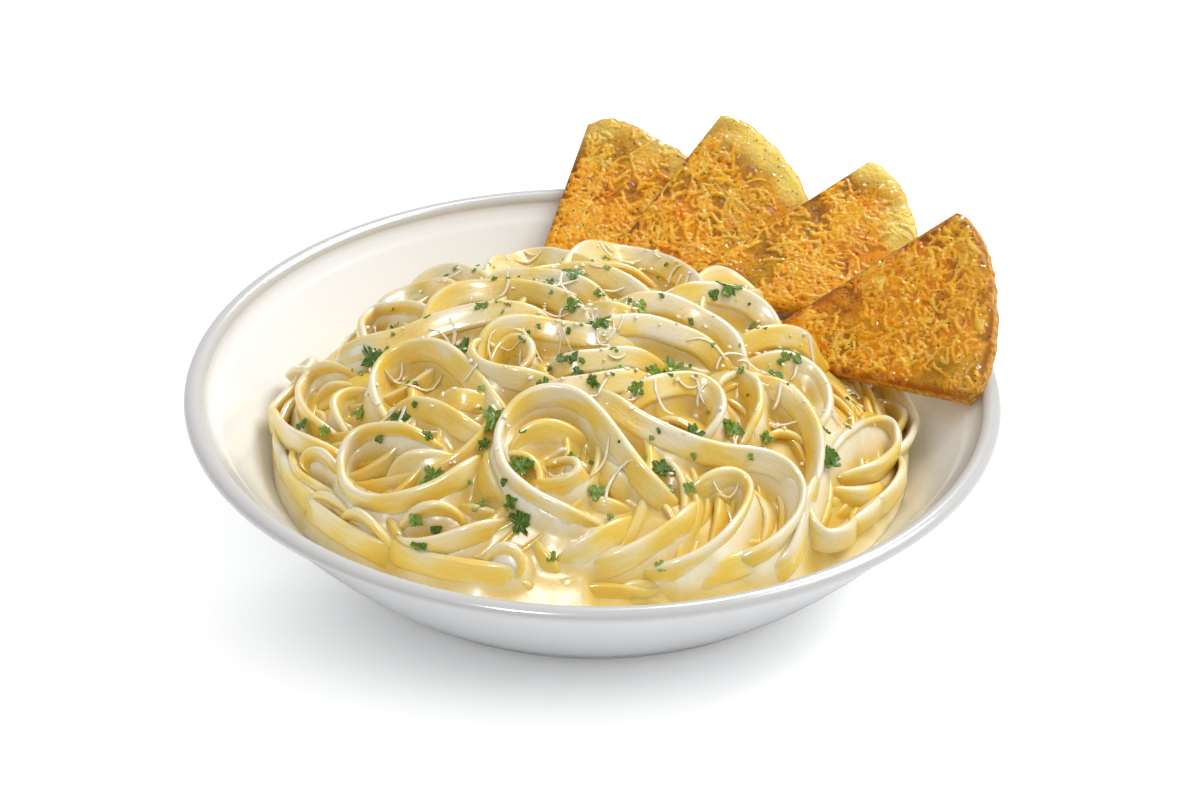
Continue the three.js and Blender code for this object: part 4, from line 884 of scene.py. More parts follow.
def flatPath(x, y, heading, bends):
    # seen from above: runs of a length, each with its turn in degrees
    length = sum(part for part, turn in bends)
    count = max(2, math.floor(length / noodle["step"] + 0.5))
    step = length / count
    curvature = np.zeros(count)
    middles = (np.arange(count) + 0.5) * step
    done = 0
    for part, turn in bends:
        curvature[(middles >= done) & (middles < done + part)] = math.radians(turn) / part
        done += part
    reach = math.floor(noodle["ease"] / 2 / step)
    direction = math.radians(heading)
    path = []
    for i in range(count + 1):
        path.append((x, y))
        if i == count:
            break
        bend = curvature[max(0, i - reach):i + reach + 1].mean()
        x += step * math.cos(direction + bend * step / 2)
        y += step * math.sin(direction + bend * step / 2)
        direction += bend * step
    return np.array(path), step


def clearRun(origin):
    # the longest stretch that is clear of the breads
    best, run = slice(0, 0), 0
    for i, free in enumerate(clearOfBreads(origin) > noodle["width"] / 2 + 1):
        run = run + 1 if free else 0
        if run > best.stop - best.start:
            best = slice(i + 1 - run, i + 1)
    return best


def insideWall(x, y, z, halfSpan, halfHeight):
    # moved in until a noodle there is clear of the wall, also at its lower edge
    atMiddle = innerRadius(np.clip(z, *bowl["wallSpan"])) - halfSpan
    room = np.minimum(atMiddle, innerRadius(np.clip(z - halfHeight, *bowl["wallSpan"])))
    share = np.minimum((room - noodle["wallRoom"]) / np.maximum(np.hypot(x, y), 1e-6), 1)
    return x * share, y * share


def layNoodle(path, step, tilts, top, cover):
    # A path has heights where the noodle is drawn, and it then lies over those before it. The
    # other noodles have only places on the heap.
    drawn = path.shape[1] == 3
    lean = np.radians(np.interp(np.linspace(0, 1, len(path)), np.linspace(0, 1, len(tilts)), tilts))
    halfWidth, halfThick = noodle["width"] / 2, noodle["thickness"] / 2
    halfHeight = halfWidth * np.abs(np.sin(lean)) + halfThick * np.abs(np.cos(lean))
    halfSpan = halfWidth * np.abs(np.cos(lean)) + halfThick * np.abs(np.sin(lean))
    x, y = path[:, 0], path[:, 1]
    rise = top - halfHeight
    if drawn:
        rise = np.maximum(rise, (path[:, 2] - heapHeight(x, y)) * heapNormal(x, y)[:, 2])
    x, y = insideWall(x, y, heapHeight(x, y) + rise, halfSpan, halfHeight)
    normal = heapNormal(x, y)
    if drawn:
        forward = unit(np.gradient(np.stack([x, y, 0 * x], -1), axis=0))
        level = unit(np.cross(normal, forward))
        support = np.full(len(path), -heap["coreDrop"])
        for across in (-1, -0.5, 0, 0.5, 1):
            below = cover.at(x + level[:, 0] * across * halfSpan, y + level[:, 1] * across * halfSpan)
            support = np.maximum(support, below)
        support = support + halfHeight - noodle["sink"]
        gaps = (np.arange(len(path))[:, None] - np.arange(len(path))[None, :]) * step
        arched = np.maximum(rise, (support[None, :] - gaps ** 2 / (2 * noodle["stiffRadius"])).max(1))
        rise = np.minimum(arched, rise + noodle["maxRise"])
    part = clearRun(np.stack([x, y, heapHeight(x, y)], -1) + normal * rise[:, None])
    place = np.arange(len(path))
    toEnd = np.maximum(np.minimum(place - part.start, part.stop - 1 - place), 0) * step
    rise = rise - noodle["dive"] * (1 - smoothStep(0, noodle["diveLength"], toEnd)) ** 1.5
    rise = smoothed(rise, math.floor(5 / step + 0.5))
    origin = np.stack([x, y, heapHeight(x, y)], -1) + normal * rise[:, None]
    origin[:, 0], origin[:, 1] = insideWall(*origin.T, halfSpan, halfHeight)
    origin = smoothed(origin, 1)
    forward = unit(np.gradient(origin, axis=0))
    level = unit(np.cross(normal, forward))
    plumb = unit(normal * (1 - noodle["upright"]) + np.array([0, 0, 1]) * noodle["upright"])
    side = unit(level * np.cos(lean)[:, None] + plumb * np.sin(lean)[:, None])
    return {"origin": origin[part], "side": side[part], "normal": normal[part], "rise": rise[part],
            "step": step}


def addToCover(laid, cover):
    for across in np.linspace(-1, 1, 9) * noodle["width"] / 2:
        spot = laid["origin"] + laid["side"] * across
        lift = np.sum(laid["side"] * laid["normal"], -1) * across
        cover.raiseTo(spot[:, 0], spot[:, 1], laid["rise"] + lift + noodle["thickness"] / 2)


def drawnNoodle(places, tilts, top, cover):
    halfHeight = noodle["width"] / 2 * abs(math.sin(math.radians(tilts[1])))
    spots = np.array([onHeap(px, py, (top - halfHeight) * 0.85) for px, py in places])
    path, step = throughPoints(spots)
    return layNoodle(smoothed(path, 2), step, tilts, top, cover)


def tuckedNoodles(cover, layer):
    draw = seeded(layer["seed"])
    found = []
    for attempt in range(layer["tries"]):
        if len(found) >= layer["count"]:
            break
        r = filling["reach"] * math.sqrt(1 - (attempt + 0.5) / layer["tries"])
        bearing = attempt * filling["spiralTurn"]
        length = between(draw, layer["lengths"])
        turn = math.degrees(length / between(draw, filling["radii"]))
        heading = math.degrees(bearing) + 90 + between(draw, filling["headings"])
        tilt = between(draw, layer["tilts"])
        if r * math.sin(bearing) > filling["behind"]:
            tilt *= filling["flatter"]
        path, step = flatPath(r * math.cos(bearing), r * math.sin(bearing), heading,
                              [(length * 0.5, turn * 0.4), (length * 0.5, turn * 1.1)])
        laid = layNoodle(path, step, (tilt, tilt), layer["top"], cover)
        origin = laid["origin"]
        if len(origin) * laid["step"] < layer["lengths"][0] * filling["shortest"]:
            continue
        shows = cover.at(origin[:, 0], origin[:, 1]) < layer["top"] - filling["clear"]
        if shows.sum() * laid["step"] < layer["shows"]:
            continue
        addToCover(laid, cover)
        found.append(laid)
    return found


def farNoodles(cover):
    draw = seeded(farArcs["seed"])
    found = []
    for k in range(farArcs["count"]):
        r = farArcs["outer"] - farArcs["spacing"] * k
        bearing = between(draw, farArcs["bearings"])
        sweep = between(draw, farArcs["sweeps"])
        heading = bearing + 90 + between(draw, farArcs["headings"])
        angle = math.radians(bearing)
        tilt = between(draw, farArcs["tilts"])
        path, step = flatPath(r * math.cos(angle), r * math.sin(angle), heading,
                              [(r * math.radians(sweep), sweep)])
        laid = layNoodle(path, step, (tilt, tilt), farArcs["top"], cover)
        addToCover(laid, cover)
        found.append(laid)
    return found


def layAll():
    cover = Cover(2, sauce["lowest"])
    onTop = []
    for places, tilts, top in drawnNoodles:
        laid = drawnNoodle(places, tilts, top, cover)
        addToCover(laid, cover)
        onTop.append(laid)
    onTop += farNoodles(cover)
    under = []
    for layer in filling["layers"]:
        under += tuckedNoodles(cover, layer)
    return onTop, under


def noodleSection():
    # round its cut edges, flat between them; shares of the half width and half thickness
    cap = noodle["thickness"] / noodle["width"]
    turns = [math.radians(angle) for angle in range(-90, 91, 30)]
    right = [(1 - cap + cap * math.cos(turn), math.sin(turn)) for turn in turns]
    left = [(-out, -up) for out, up in right]
    return right + [(0.25, 1), (-0.25, 1)] + left + [(-0.25, -1), (0.25, -1)]


def halved(values):
    # with a point of a smooth curve between each two
    padded = np.concatenate([2 * values[:1] - values[1:2], values, 2 * values[-1:] - values[-2:-1]])
    full = np.empty((2 * len(values) - 1, 3))
    full[0::2] = values
    full[1::2] = (-padded[:-3] + 9 * padded[1:-2] + 9 * padded[2:-1] - padded[3:]) / 16
    return full


def ribbon(laid, rng, fine=True):
    # rings of points round a noodle, with the places of its skin
    origin, side = laid["origin"], laid["side"]
    if fine:
        origin, side = halved(origin), halved(side)
    along = np.concatenate([[0], np.cumsum(np.linalg.norm(np.diff(origin, axis=0), axis=1))])
    forward = unit(np.gradient(origin, axis=0))
    face = unit(np.cross(forward, side))
    side = unit(np.cross(face, forward))
    seed = rng.uniform(0, 90)
    twist = math.radians(noodle["twist"]) * waver(along / noodle["twistRun"], seed, 3)[:, None]
    side, face = side * np.cos(twist) + face * np.sin(twist), face * np.cos(twist) - side * np.sin(twist)
    swelling = noodle["swelling"] * waver(along / noodle["swellingRun"], seed, 4)
    thicker = noodle["thicker"] * waver(along / noodle["thickerRun"], seed, 5)
    a = noodle["width"] / 2 * (1 + swelling + rng.uniform(*noodle["widthShare"]))
    b = noodle["thickness"] / 2 * (1 + thicker)
    # a little smaller at its cut ends
    ends = np.minimum(along, along[-1] - along)
    a = a * (0.93 + 0.07 * smoothStep(0, 1.5, ends))
    b = b * (0.7 + 0.3 * smoothStep(0, 1.2, ends))
    cup = noodle["cup"] * rng.uniform(*noodle["cupShare"])
    rings, across, facing = [], [], []
    for out, up in noodleSection():
        ruffle = waver(along / noodle["ruffleRun"], seed + (9 if out > 0 else 20), 6) * out ** 2
        lift = b * up + cup * (out ** 2 - 0.4) + noodle["ruffle"] * ruffle
        rings.append(origin + side * (a * out)[:, None] + face * lift[:, None])
        across.append(np.full(len(along), out))
        outward = side * (math.copysign(1 - abs(up), out) if abs(out) > 0.7 else 0) + face * up
        facing.append(outward[:, 2])
    points = np.stack(rings, 1).reshape(-1, 3)
    return {
        "points": points, "count": len(along), "sides": len(rings), "along": np.repeat(along, len(rings)),
        "across": np.stack(across, 1).ravel(), "facing": np.stack(facing, 1).ravel(),
        "tone": np.full(len(points), rng.uniform(0, 1)),
        "origin": origin, "side": side, "face": face, "a": a, "b": b,
    }


def ribbonFaces(count, sides, start):
    ring = np.arange(count - 1)[:, None] * sides
    k = np.arange(sides)[None, :]
    after = (k + 1) % sides
    quads = np.stack([ring + k, ring + after, ring + sides + after, ring + sides + k], -1).reshape(-1, 4)
    first = list(range(sides))[::-1]
    last = [(count - 1) * sides + i for i in range(sides)]
    return [[start + i for i in face] for face in quads.tolist() + [first, last]]


def raster(ribbons, cover):
    # the tops of the noodles, point by point, on the fine grid
    for strand in ribbons:
        fine = np.repeat(np.arange(len(strand["origin"]) - 1), 3)
        part = np.tile([0, 1 / 3, 2 / 3], len(strand["origin"]) - 1)[:, None]
        origin = strand["origin"][fine] * (1 - part) + strand["origin"][fine + 1] * part
        side, face, a, b = (strand[key][fine] for key in ("side", "face", "a", "b"))
        for out in np.linspace(-1, 1, 25):
            for up in (-1, 1):
                spot = origin + side * (a * out)[:, None] + face * (b * up)[:, None]
                cover.raiseTo(spot[:, 0], spot[:, 1], spot[:, 2] - heapHeight(spot[:, 0], spot[:, 1]))


def discShifts(radius):
    reach = range(-radius, radius + 1)
    return [(i, j) for i in reach for j in reach if i * i + j * j <= radius * radius + 0.5]


def spread(height, radius, choose):
    result = height.copy()
    for i, j in discShifts(radius):
        result = choose(result, np.roll(height, (i, j), (0, 1)))
    return result


def blurred(height, rounds):
    for _ in range(rounds):
        for axis in (0, 1):
            height = (np.roll(height, 1, axis) + 2 * height + np.roll(height, -1, axis)) / 4
    return height


sauce = {
    "cell": 0.8, "bridge": 2, "depth": 4.4, "unevenness": 1.5, "lowest": -9.5,
    "drape": 0.6,  # how thick it lies on the lower noodles
    "cling": 1.6, "clingRounds": 6,  # it rises to the noodles it touches in a soft fillet
    "belowEdge": 6.5, "film": 3.0,  # it meets the wall this far under the heap's edge, thinning out
    # places where more of it has run together: x, y, radius, how much higher
    "pools": [(4, -84, 24, 2.2), (-30, -66, 16, 2.2), (-64, -30, 20, 1.6), (-44, 4, 24, 1.6),
              (20, 20, 34, 1.4), (-46, -54, 14, 2.4), (84, -66, 30, -5), (100, -20, 24, -3)],
    "gathered": 4.4, "gatheredAtWall": 0.66,  # how much higher it stands in front, and at the wall there
    "rightDrop": 3,  # and how much lower on the right
    "outerDrop": 3.5,  # over the noodles next to the wall it is lower too
    "dip": 1.5, "dipBearing": -36, "dipWidth": 34,  # it meets the wall lower on the right
    "around": 520, "rings": 128,  # points round the middle, and rings of them out to the wall
    # the deep colour is painted shade, down in the gaps
    "cream": [(0.3, "#EBDAA8"), (0.5, "#EEE2BE"), (0.7, "#F0E9D4")], "deep": "#DDBC52",
    "swirlSize": 7.69, "curdSize": 1.429, "curdDepth": 0.5,
}


def gathering(x, y):
    # 1 in front, where the sauce has run together, 0 elsewhere
    return smoothStep(-64, -84, y) * smoothStep(68, 44, np.abs(x - 6))


def sauceSurface(cover):
    # its height over the heap's own surface
    closed = spread(spread(cover.height, sauce["bridge"], np.maximum), sauce["bridge"], np.minimum)
    axis = np.arange(cover.count) * cover.cell - cover.size
    x, y = np.meshgrid(axis, axis)
    away = np.hypot(x, y)
    level = closed - sauce["depth"] + sauce["unevenness"] * waver(x / 16, y / 16, 70)
    for px, py, radius, more in sauce["pools"]:
        level = level + more * np.exp(-((x - px) ** 2 + (y - py) ** 2) / (radius * 0.7) ** 2)
    level = np.minimum(level, cover.height + sauce["drape"] * (1 + 0.7 * waver(x / 5, y / 5, 71)))
    lowest = sauce["lowest"] - sauce["rightDrop"] * smoothStep(84, 100, away) * (x > 0)
    folds = 1.2 * waver(x / 13, y / 6, 74) + 0.3 * waver(x / 6, y / 5, 75)
    gathered = (sauce["gathered"] + folds) * gathering(x, y)
    level = np.maximum(level, lowest + 0.8 * waver(x / 9, y / 9, 72) + gathered)
    fillet = blurred(cover.height, sauce["clingRounds"])
    fillet = fillet - sauce["cling"] * (1 + 1.1 * waver(x / 13, y / 13, 73))
    made = Cover(cover.cell, 0)
    made.height = blurred(np.maximum(level, fillet), 2)
    outside = smoothStep(97, 107, away) * (1 - gathering(x, y))
    rightFront = smoothStep(30, 70, x) * smoothStep(20, -20, y)
    made.height -= sauce["outerDrop"] * outside * (1 + 0.6 * rightFront)
    return made


def wallContact(angle):
    # height at which the sauce meets the wall, by the bearing from the middle
    contact = heapEdge(heap["radius"] * np.sin(angle)) - sauce["belowEdge"]
    toDip = angle - math.radians(sauce["dipBearing"])
    away = np.degrees(np.abs(np.arctan2(np.sin(toDip), np.cos(toDip))))
    contact = contact - sauce["dip"] * (1 - smoothStep(0, 2 * sauce["dipWidth"], away))
    inFront = gathering(106 * np.cos(angle), 106 * np.sin(angle))
    return contact + sauce["gatheredAtWall"] * inFront


def makeSauce(surface, material):
    # closed body of the heap: sauce on top, the bowl's wall at its side
    segments, rings = sauce["around"], sauce["rings"]
    angle = np.arange(segments) / segments * 2 * math.pi
    contact = wallContact(angle)
    outer = innerRadius(contact)
    share = (np.arange(1, rings + 1) / rings)[:, None]
    x, y = (outer * share * np.cos(angle)).ravel(), (outer * share * np.sin(angle)).ravel()
    z = heapHeight(x, y) + surface.smoothAt(x, y)
    # the edge thins out up the wall
    film = sauce["film"] * np.sqrt(np.repeat(1 - share, segments))
    z = np.maximum(z, wallHeight(np.hypot(x, y)) + film)
    crown = float(heapHeight(0, 0) + surface.smoothAt(0, 0))
    points = [np.array([[0, 0, crown]]), np.stack([x, y, z], -1)]
    # down inside the wall, and in along the round of the floor
    wallLow = bowl["wallSpan"][0]
    levels = [0.8 * contact, 0.6 * contact, np.full(segments, float(wallLow))]
    belowRings = [(innerRadius(level) - 0.2, level) for level in levels]
    floorEdge = innerRadius(wallLow) - bowl["floorRound"] - 0.2
    belowRings.append((floorEdge, np.full(segments, bowl["floor"] + 1.3)))
    for radius, level in belowRings:
        points.append(np.stack([radius * np.cos(angle), radius * np.sin(angle), level], -1))
    points = np.concatenate(points)
    total = rings + len(belowRings)
    k = np.arange(segments)
    after = (k + 1) % segments
    faces = [[0, 1 + i, 1 + j] for i, j in zip(k.tolist(), after.tolist())]
    for ring in range(total - 1):
        start = 1 + ring * segments
        corners = [start + k, start + segments + k, start + segments + after, start + after]
        faces += np.stack(corners, -1).tolist()
    faces.append((1 + (total - 1) * segments + k)[::-1].tolist())
    # painted shade: a darker gold down in the gaps, creamy again where it thins out on the wall
    deep = 1 - smoothStep(-6.5, -1.5, points[:, 2] - heapHeight(points[:, 0], points[:, 1]))
    deep = deep * (1 - 0.8 * smoothStep(103, 108, np.hypot(points[:, 0], points[:, 1])))
    piece = pieceFromArrays("creamSauce", points, faces, {"low": deep})
    finishPiece(piece, material, "pasta")


def makeNoodles(name, ribbons, surface, material):
    points, faces, uv = [], [], []
    values = {"coat": [], "low": []}
    coat = noodle["coat"]
    start = 0
    for strand in ribbons:
        p, across, tone = strand["points"], strand["across"], strand["tone"]
        over = p[:, 2] - heapHeight(p[:, 0], p[:, 1])
        # painted shade: the lower the skin lies under the heap, the more of the deep gold
        deep = 1 - smoothStep(-8, -1.5, over)
        # wet where it comes out of the sauce
        wet = (0.85 - 0.5 * deep) * (1 - smoothStep(-0.2, 1.2, over - surface.smoothAt(p[:, 0], p[:, 1])))
        edge = smoothStep(0.55, 0.97, np.abs(across))
        patch = 0.5 * waver(p[:, 0] / 11 + tone * 40, p[:, 1] / 11, 80)
        patch = patch + 0.5 * waver(strand["along"] / 9, across * 0.8 + tone * 70, 81)
        cover = (coat["all"] + coat["patches"] * patch + coat["edges"] * edge
                 + coat["facing"] * strand["facing"] + coat["height"] * over)
        values["coat"].append(np.clip(np.maximum(cover, wet), 0, 1))
        values["low"].append(deep)
        uv.append(np.stack([across * noodle["width"] / 2, strand["along"]], -1) * mm)
        faces += ribbonFaces(strand["count"], strand["sides"], start)
        points.append(p)
        start += len(p)
    values = {key: np.concatenate(parts) for key, parts in values.items()}
    made = pieceFromArrays(name, np.concatenate(points), faces, values, np.concatenate(uv))
    finishPiece(made, material, "pasta")
    print(name, len(ribbons), "noodles", sum(len(face) - 2 for face in faces), "triangles")


def eggNoodle():
    # boiled egg noodle under cream sauce: moist satin skin, light sinks in and comes out golden
    material, tree, surface = newMaterial("eggNoodle")
    place = addNode(tree, "ShaderNodeTexCoord").outputs["Object"]
    skin = addNode(tree, "ShaderNodeUVMap", uv_map="along").outputs["UV"]
    coat, low = (addNode(tree, "ShaderNodeAttribute", attribute_name=name).outputs["Fac"]
                 for name in ("coat", "low"))
    # sauce drawn out in streaks along the noodle, about 1.5 mm across and 9 mm long
    stretched = addNode(tree, "ShaderNodeMapping", {"Vector": skin, "Scale": (1, noodle["streakStretch"], 1)})
    streak = addNode(tree, "ShaderNodeTexNoise", {
        "Vector": stretched.outputs["Vector"], "Scale": cellsOf(noodle["streakSize"]), "Detail": 3,
        "Roughness": 0.55}).outputs["Fac"]
    more = addNode(tree, "ShaderNodeMapRange", {
        "Value": streak, "From Min": 0.3, "From Max": 0.7, "To Min": -noodle["streaks"],
        "To Max": noodle["streaks"]}).outputs["Result"]
    amount = addNode(tree, "ShaderNodeMath", {0: coat, 1: more}, operation="ADD", use_clamp=True).outputs[0]
    tone = addNode(tree, "ShaderNodeValToRGB", {"Fac": amount}, stops=noodle["skin"]).outputs["Color"]
    # painted shade: a darker gold down in the gaps, where no sauce lies on it
    golden = addNode(tree, "ShaderNodeMix", {0: low, 6: tone, 7: noodle["deep"]}, data_type="RGBA").outputs[2]
    coated = addNode(tree, "ShaderNodeMix", {0: amount, 6: golden, 7: tone}, data_type="RGBA").outputs[2]
    rough = addNode(tree, "ShaderNodeMapRange", {"Value": streak, "To Min": 0.3, "To Max": 0.52})
    grain = addNode(tree, "ShaderNodeTexNoise", {
        "Vector": place, "Scale": cellsOf(noodle["grainSize"]), "Detail": 3, "Roughness": 0.5}).outputs["Fac"]
    heights = addNode(tree, "ShaderNodeMath", {0: grain, 1: streak}, operation="ADD").outputs[0]
    bump = addNode(tree, "ShaderNodeBump", {
        "Height": heights, "Strength": 0.3, "Distance": noodle["grainDepth"] * mm})
    setInputs(tree, surface, {
        "IOR": 1.42, "Subsurface Weight": 0.3, "Subsurface Radius": (0.8, 0.65, 0.2),
        "Subsurface Scale": 3 * mm, "Coat Weight": 0.6, "Coat Roughness": 0.13, "Base Color": coated,
        "Roughness": rough.outputs["Result"], "Normal": bump.outputs["Normal"]})
    return material


def creamAndCheese():
    # thick cream and cheese sauce: wet, dense and a little lumpy, lit from inside
    material, tree, surface = newMaterial("creamAndCheese")
    place = addNode(tree, "ShaderNodeTexCoord").outputs["Object"]
    swirl = addNode(tree, "ShaderNodeTexNoise", {
        "Vector": place, "Scale": cellsOf(sauce["swirlSize"]), "Detail": 3, "Distortion": 0.6}).outputs["Fac"]
    tone = addNode(tree, "ShaderNodeValToRGB", {"Fac": swirl}, stops=sauce["cream"]).outputs["Color"]
    low = addNode(tree, "ShaderNodeAttribute", attribute_name="low").outputs["Fac"]
    # painted shade in the gaps, from the low attribute
    golden = addNode(tree, "ShaderNodeMix", {0: low, 6: tone, 7: sauce["deep"]}, data_type="RGBA").outputs[2]
    rough = addNode(tree, "ShaderNodeMapRange", {"Value": swirl, "To Min": 0.3, "To Max": 0.5})
    curd = addNode(tree, "ShaderNodeTexNoise", {
        "Vector": place, "Scale": cellsOf(sauce["curdSize"]), "Detail": 3})
    bump = addNode(tree, "ShaderNodeBump", {
        "Height": curd.outputs["Fac"], "Strength": 0.25, "Distance": sauce["curdDepth"] * mm})
    setInputs(tree, surface, {
        "IOR": 1.4, "Subsurface Weight": 0.35, "Subsurface Radius": (0.8, 0.7, 0.4),
        "Subsurface Scale": 3 * mm, "Coat Weight": 0.3, "Coat Roughness": 0.26, "Base Color": golden,
        "Roughness": rough.outputs["Result"], "Normal": bump.outputs["Normal"]})
    return material


noodlesAbove, noodlesUnder = layAll()
print("noodles laid:", len(noodlesAbove), "and", len(noodlesUnder), "underneath")
rng = np.random.default_rng(noodle["seed"])
topRibbons = [ribbon(laid, rng) for laid in noodlesAbove]
underRibbons = [ribbon(laid, rng, fine=False) for laid in noodlesUnder]
fineCover = Cover(sauce["cell"], sauce["lowest"])
raster(topRibbons + underRibbons, fineCover)
sauceLevel = sauceSurface(fineCover)
pastaMaterial = eggNoodle()
makeNoodles("noodlesOnTop", topRibbons, sauceLevel, pastaMaterial)
makeNoodles("noodlesBelow", underRibbons, sauceLevel, pastaMaterial)
makeSauce(sauceLevel, creamAndCheese())
print("sauce made")


# parsley and cheese on top

# what lies on top bridges the narrow gaps between the noodles
restingHeight = Cover(sauce["cell"], 0)
restingHeight.height = blurred(spread(spread(fineCover.height, 3, np.maximum), 3, np.minimum), 3)


def restOn(x, y):
    return heapHeight(x, y) + restingHeight.smoothAt(x, y)


def crumbPlace(topping, rng):
    # drawn until it is clear of the breads and inside the heap's edge
    while True:
        r = topping["spread"] * rng.uniform() ** topping["evenness"]
        bearing = rng.uniform(0, 2 * math.pi)
        x = topping["middle"][0] + topping["stretch"] * r * math.cos(bearing)
        y = topping["middle"][1] + r * math.sin(bearing)
        toBread = clearOfBreads(np.array([[x, y, float(restOn(x, y))]]))[0]
        if toBread > topping["fromBread"] and math.hypot(x, y) < heap["toppingReach"]:
            return x, y


parsley = {
    # where the large and the middling leaves lie
    "large": [(-73, 0), (-29, 10), (-7, 24), (11, 12), (2, -9), (-44, -3), (-8, -26), (26, -18), (65, -4),
              (45, 24), (-62, -38), (-31, -48), (-50, -62), (-22, -66), (-22, -84), (32, -53), (45, -47),
              (76, -47)],
    "middling": [(-90, 18), (-75, 10), (-37, 8), (-21, 9), (-15, 20), (-7, 5), (2, 14), (15, 4), (-45, -10),
                 (-22, -17), (-30, -28), (-5, -32), (8, -31), (-15, -37), (0, -39), (14, -41), (20, -24),
                 (30, -29), (34, -22), (48, -21), (60, -13), (74, -3), (55, 7), (40, 20), (-95, -23),
                 (-87, -29), (-76, -23), (-55, -28), (-52, -52), (-34, -57), (-15, -50), (-5, -65),
                 (-35, -77), (-25, -79), (-55, -79), (2, -76), (-12, -94), (22, -97), (22, -66), (24, -73),
                 (31, -72), (56, -44), (75, -38), (90, 24)],
    "sprig": {"leaf": (-53, -88), "stemEnd": (-48, -80), "leafSize": 5.5, "stemSize": 1.5, "steps": 9},
    "sizes": {"large": (7.6, 10.2), "middling": (3.8, 6.2)},
    "crumbs": 160, "crumbSizes": (1.0, 3.0),
    "middle": (2, -8), "spread": 78, "stretch": 1.15, "evenness": 0.6, "fromBread": 5,  # where crumbs lie
    "simpleBelow": 4,  # smaller leaves have fewer lobes and points
    "teeth": 0.1, "curl": (0.2, 1.1), "follow": 0.22,  # how far a leaf follows what it lies on, by its size
    "lift": 0.25, "thickness": 0.35, "seed": 7,
    "green": [(0.1, "#3C5A0E"), (0.4, "#5A7A18"), (0.8, "#94AA40")],
    "veinSize": 1.429, "veinDepth": 0.4,
}


def leafShape(size, rng):
    # outline of a torn curly leaf: rounded lobes with small teeth
    isSimple = size <= parsley["simpleBelow"]
    lobes = rng.integers(2, 4) if isSimple else rng.integers(3, 6)
    count = lobes * (5 if isSimple else 8)
    angle = np.arange(count) / count * 2 * math.pi
    lobe = np.abs(np.cos(angle * lobes / 2 + rng.uniform(0, 3))) ** 0.7
    teeth = parsley["teeth"] * np.sin(angle * lobes * 4 + rng.uniform(0, 6))
    reach = size / 2 * (0.3 + 0.75 * lobe * rng.uniform(0.8, 1.15, count) ** 0.4 + teeth * lobe)
    stretch = rng.uniform(0.7, 1)
    return reach * np.cos(angle), reach * np.sin(angle) * stretch


def addLeaf(parts, x, y, size, rng):
    # its face is a fan round the middle and a band outside it, and so is its underside
    turn = rng.uniform(0, 2 * math.pi)
    across, up = leafShape(size, rng)
    n = len(across)
    curl = rng.uniform(*parsley["curl"]) * size / 8
    px, py, lift = [], [], []
    for share, count in ((0.0, 1), (0.55, n), (1.0, n)):
        ringX, ringY = across[:count] * share, up[:count] * share
        place = np.arange(count)
        px.append(x + ringX * math.cos(turn) - ringY * math.sin(turn))
        py.append(y + ringX * math.sin(turn) + ringY * math.cos(turn))
        wave = curl * share ** 2 * np.abs(np.sin(place * 1.3 + turn))
        lift.append(parsley["lift"] + wave + 0.15 * np.cos(place * 2.6))
    px, py, lift = (np.concatenate(values) for values in (px, py, lift))
    centre = float(restOn(x, y))
    follow = parsley["follow"] * size
    z = np.clip(restOn(px, py), centre - follow, centre + follow) + lift
    top = np.stack([px, py, z], -1)
    start = parts["count"]
    total = 1 + 2 * n
    k = np.arange(n)
    after = (k + 1) % n
    faces = []
    for side, flip in ((0, False), (total, True)):
        fan = [[side, side + 1 + i, side + 1 + j] for i, j in zip(k, after)]
        band = [[side + 1 + i, side + 1 + n + i, side + 1 + n + j, side + 1 + j] for i, j in zip(k, after)]
        faces += [face[::-1] if flip else face for face in fan + band]
    faces += [[1 + n + i, total + 1 + n + i, total + 1 + n + j, 1 + n + j] for i, j in zip(k, after)]
    parts["points"].append(np.concatenate([top, top - [0, 0, parsley["thickness"]]]))
    parts["faces"] += [[int(start + i) for i in face] for face in faces]
    parts["tone"].append(np.full(2 * total, rng.uniform(0, 1)))
    parts["count"] += 2 * total


def makeParsley(material):
    rng = np.random.default_rng(parsley["seed"])
    parts = {"points": [], "faces": [], "tone": [], "count": 0}
    for kind, sizes in parsley["sizes"].items():
        for x, y in parsley[kind]:
            addLeaf(parts, x, y, rng.uniform(*sizes), rng)
    sprig = parsley["sprig"]
    addLeaf(parts, *sprig["leaf"], sprig["leafSize"], rng)
    addLeaf(parts, *sprig["stemEnd"], 0.7 * sprig["leafSize"], rng)
    for share in np.linspace(0, 1, sprig["steps"]):
        x, y = np.array(sprig["leaf"]) * (1 - share) + np.array(sprig["stemEnd"]) * share
        addLeaf(parts, float(x), float(y), sprig["stemSize"], rng)
    for _ in range(parsley["crumbs"]):
        x, y = crumbPlace(parsley, rng)
        addLeaf(parts, x, y, rng.uniform(*parsley["crumbSizes"]), rng)
    piece = pieceFromArrays("parsleyLeaves", np.concatenate(parts["points"]), parts["faces"],
                            {"tone": np.concatenate(parts["tone"])}, smooth=False)
    finishPiece(piece, material, "pasta")


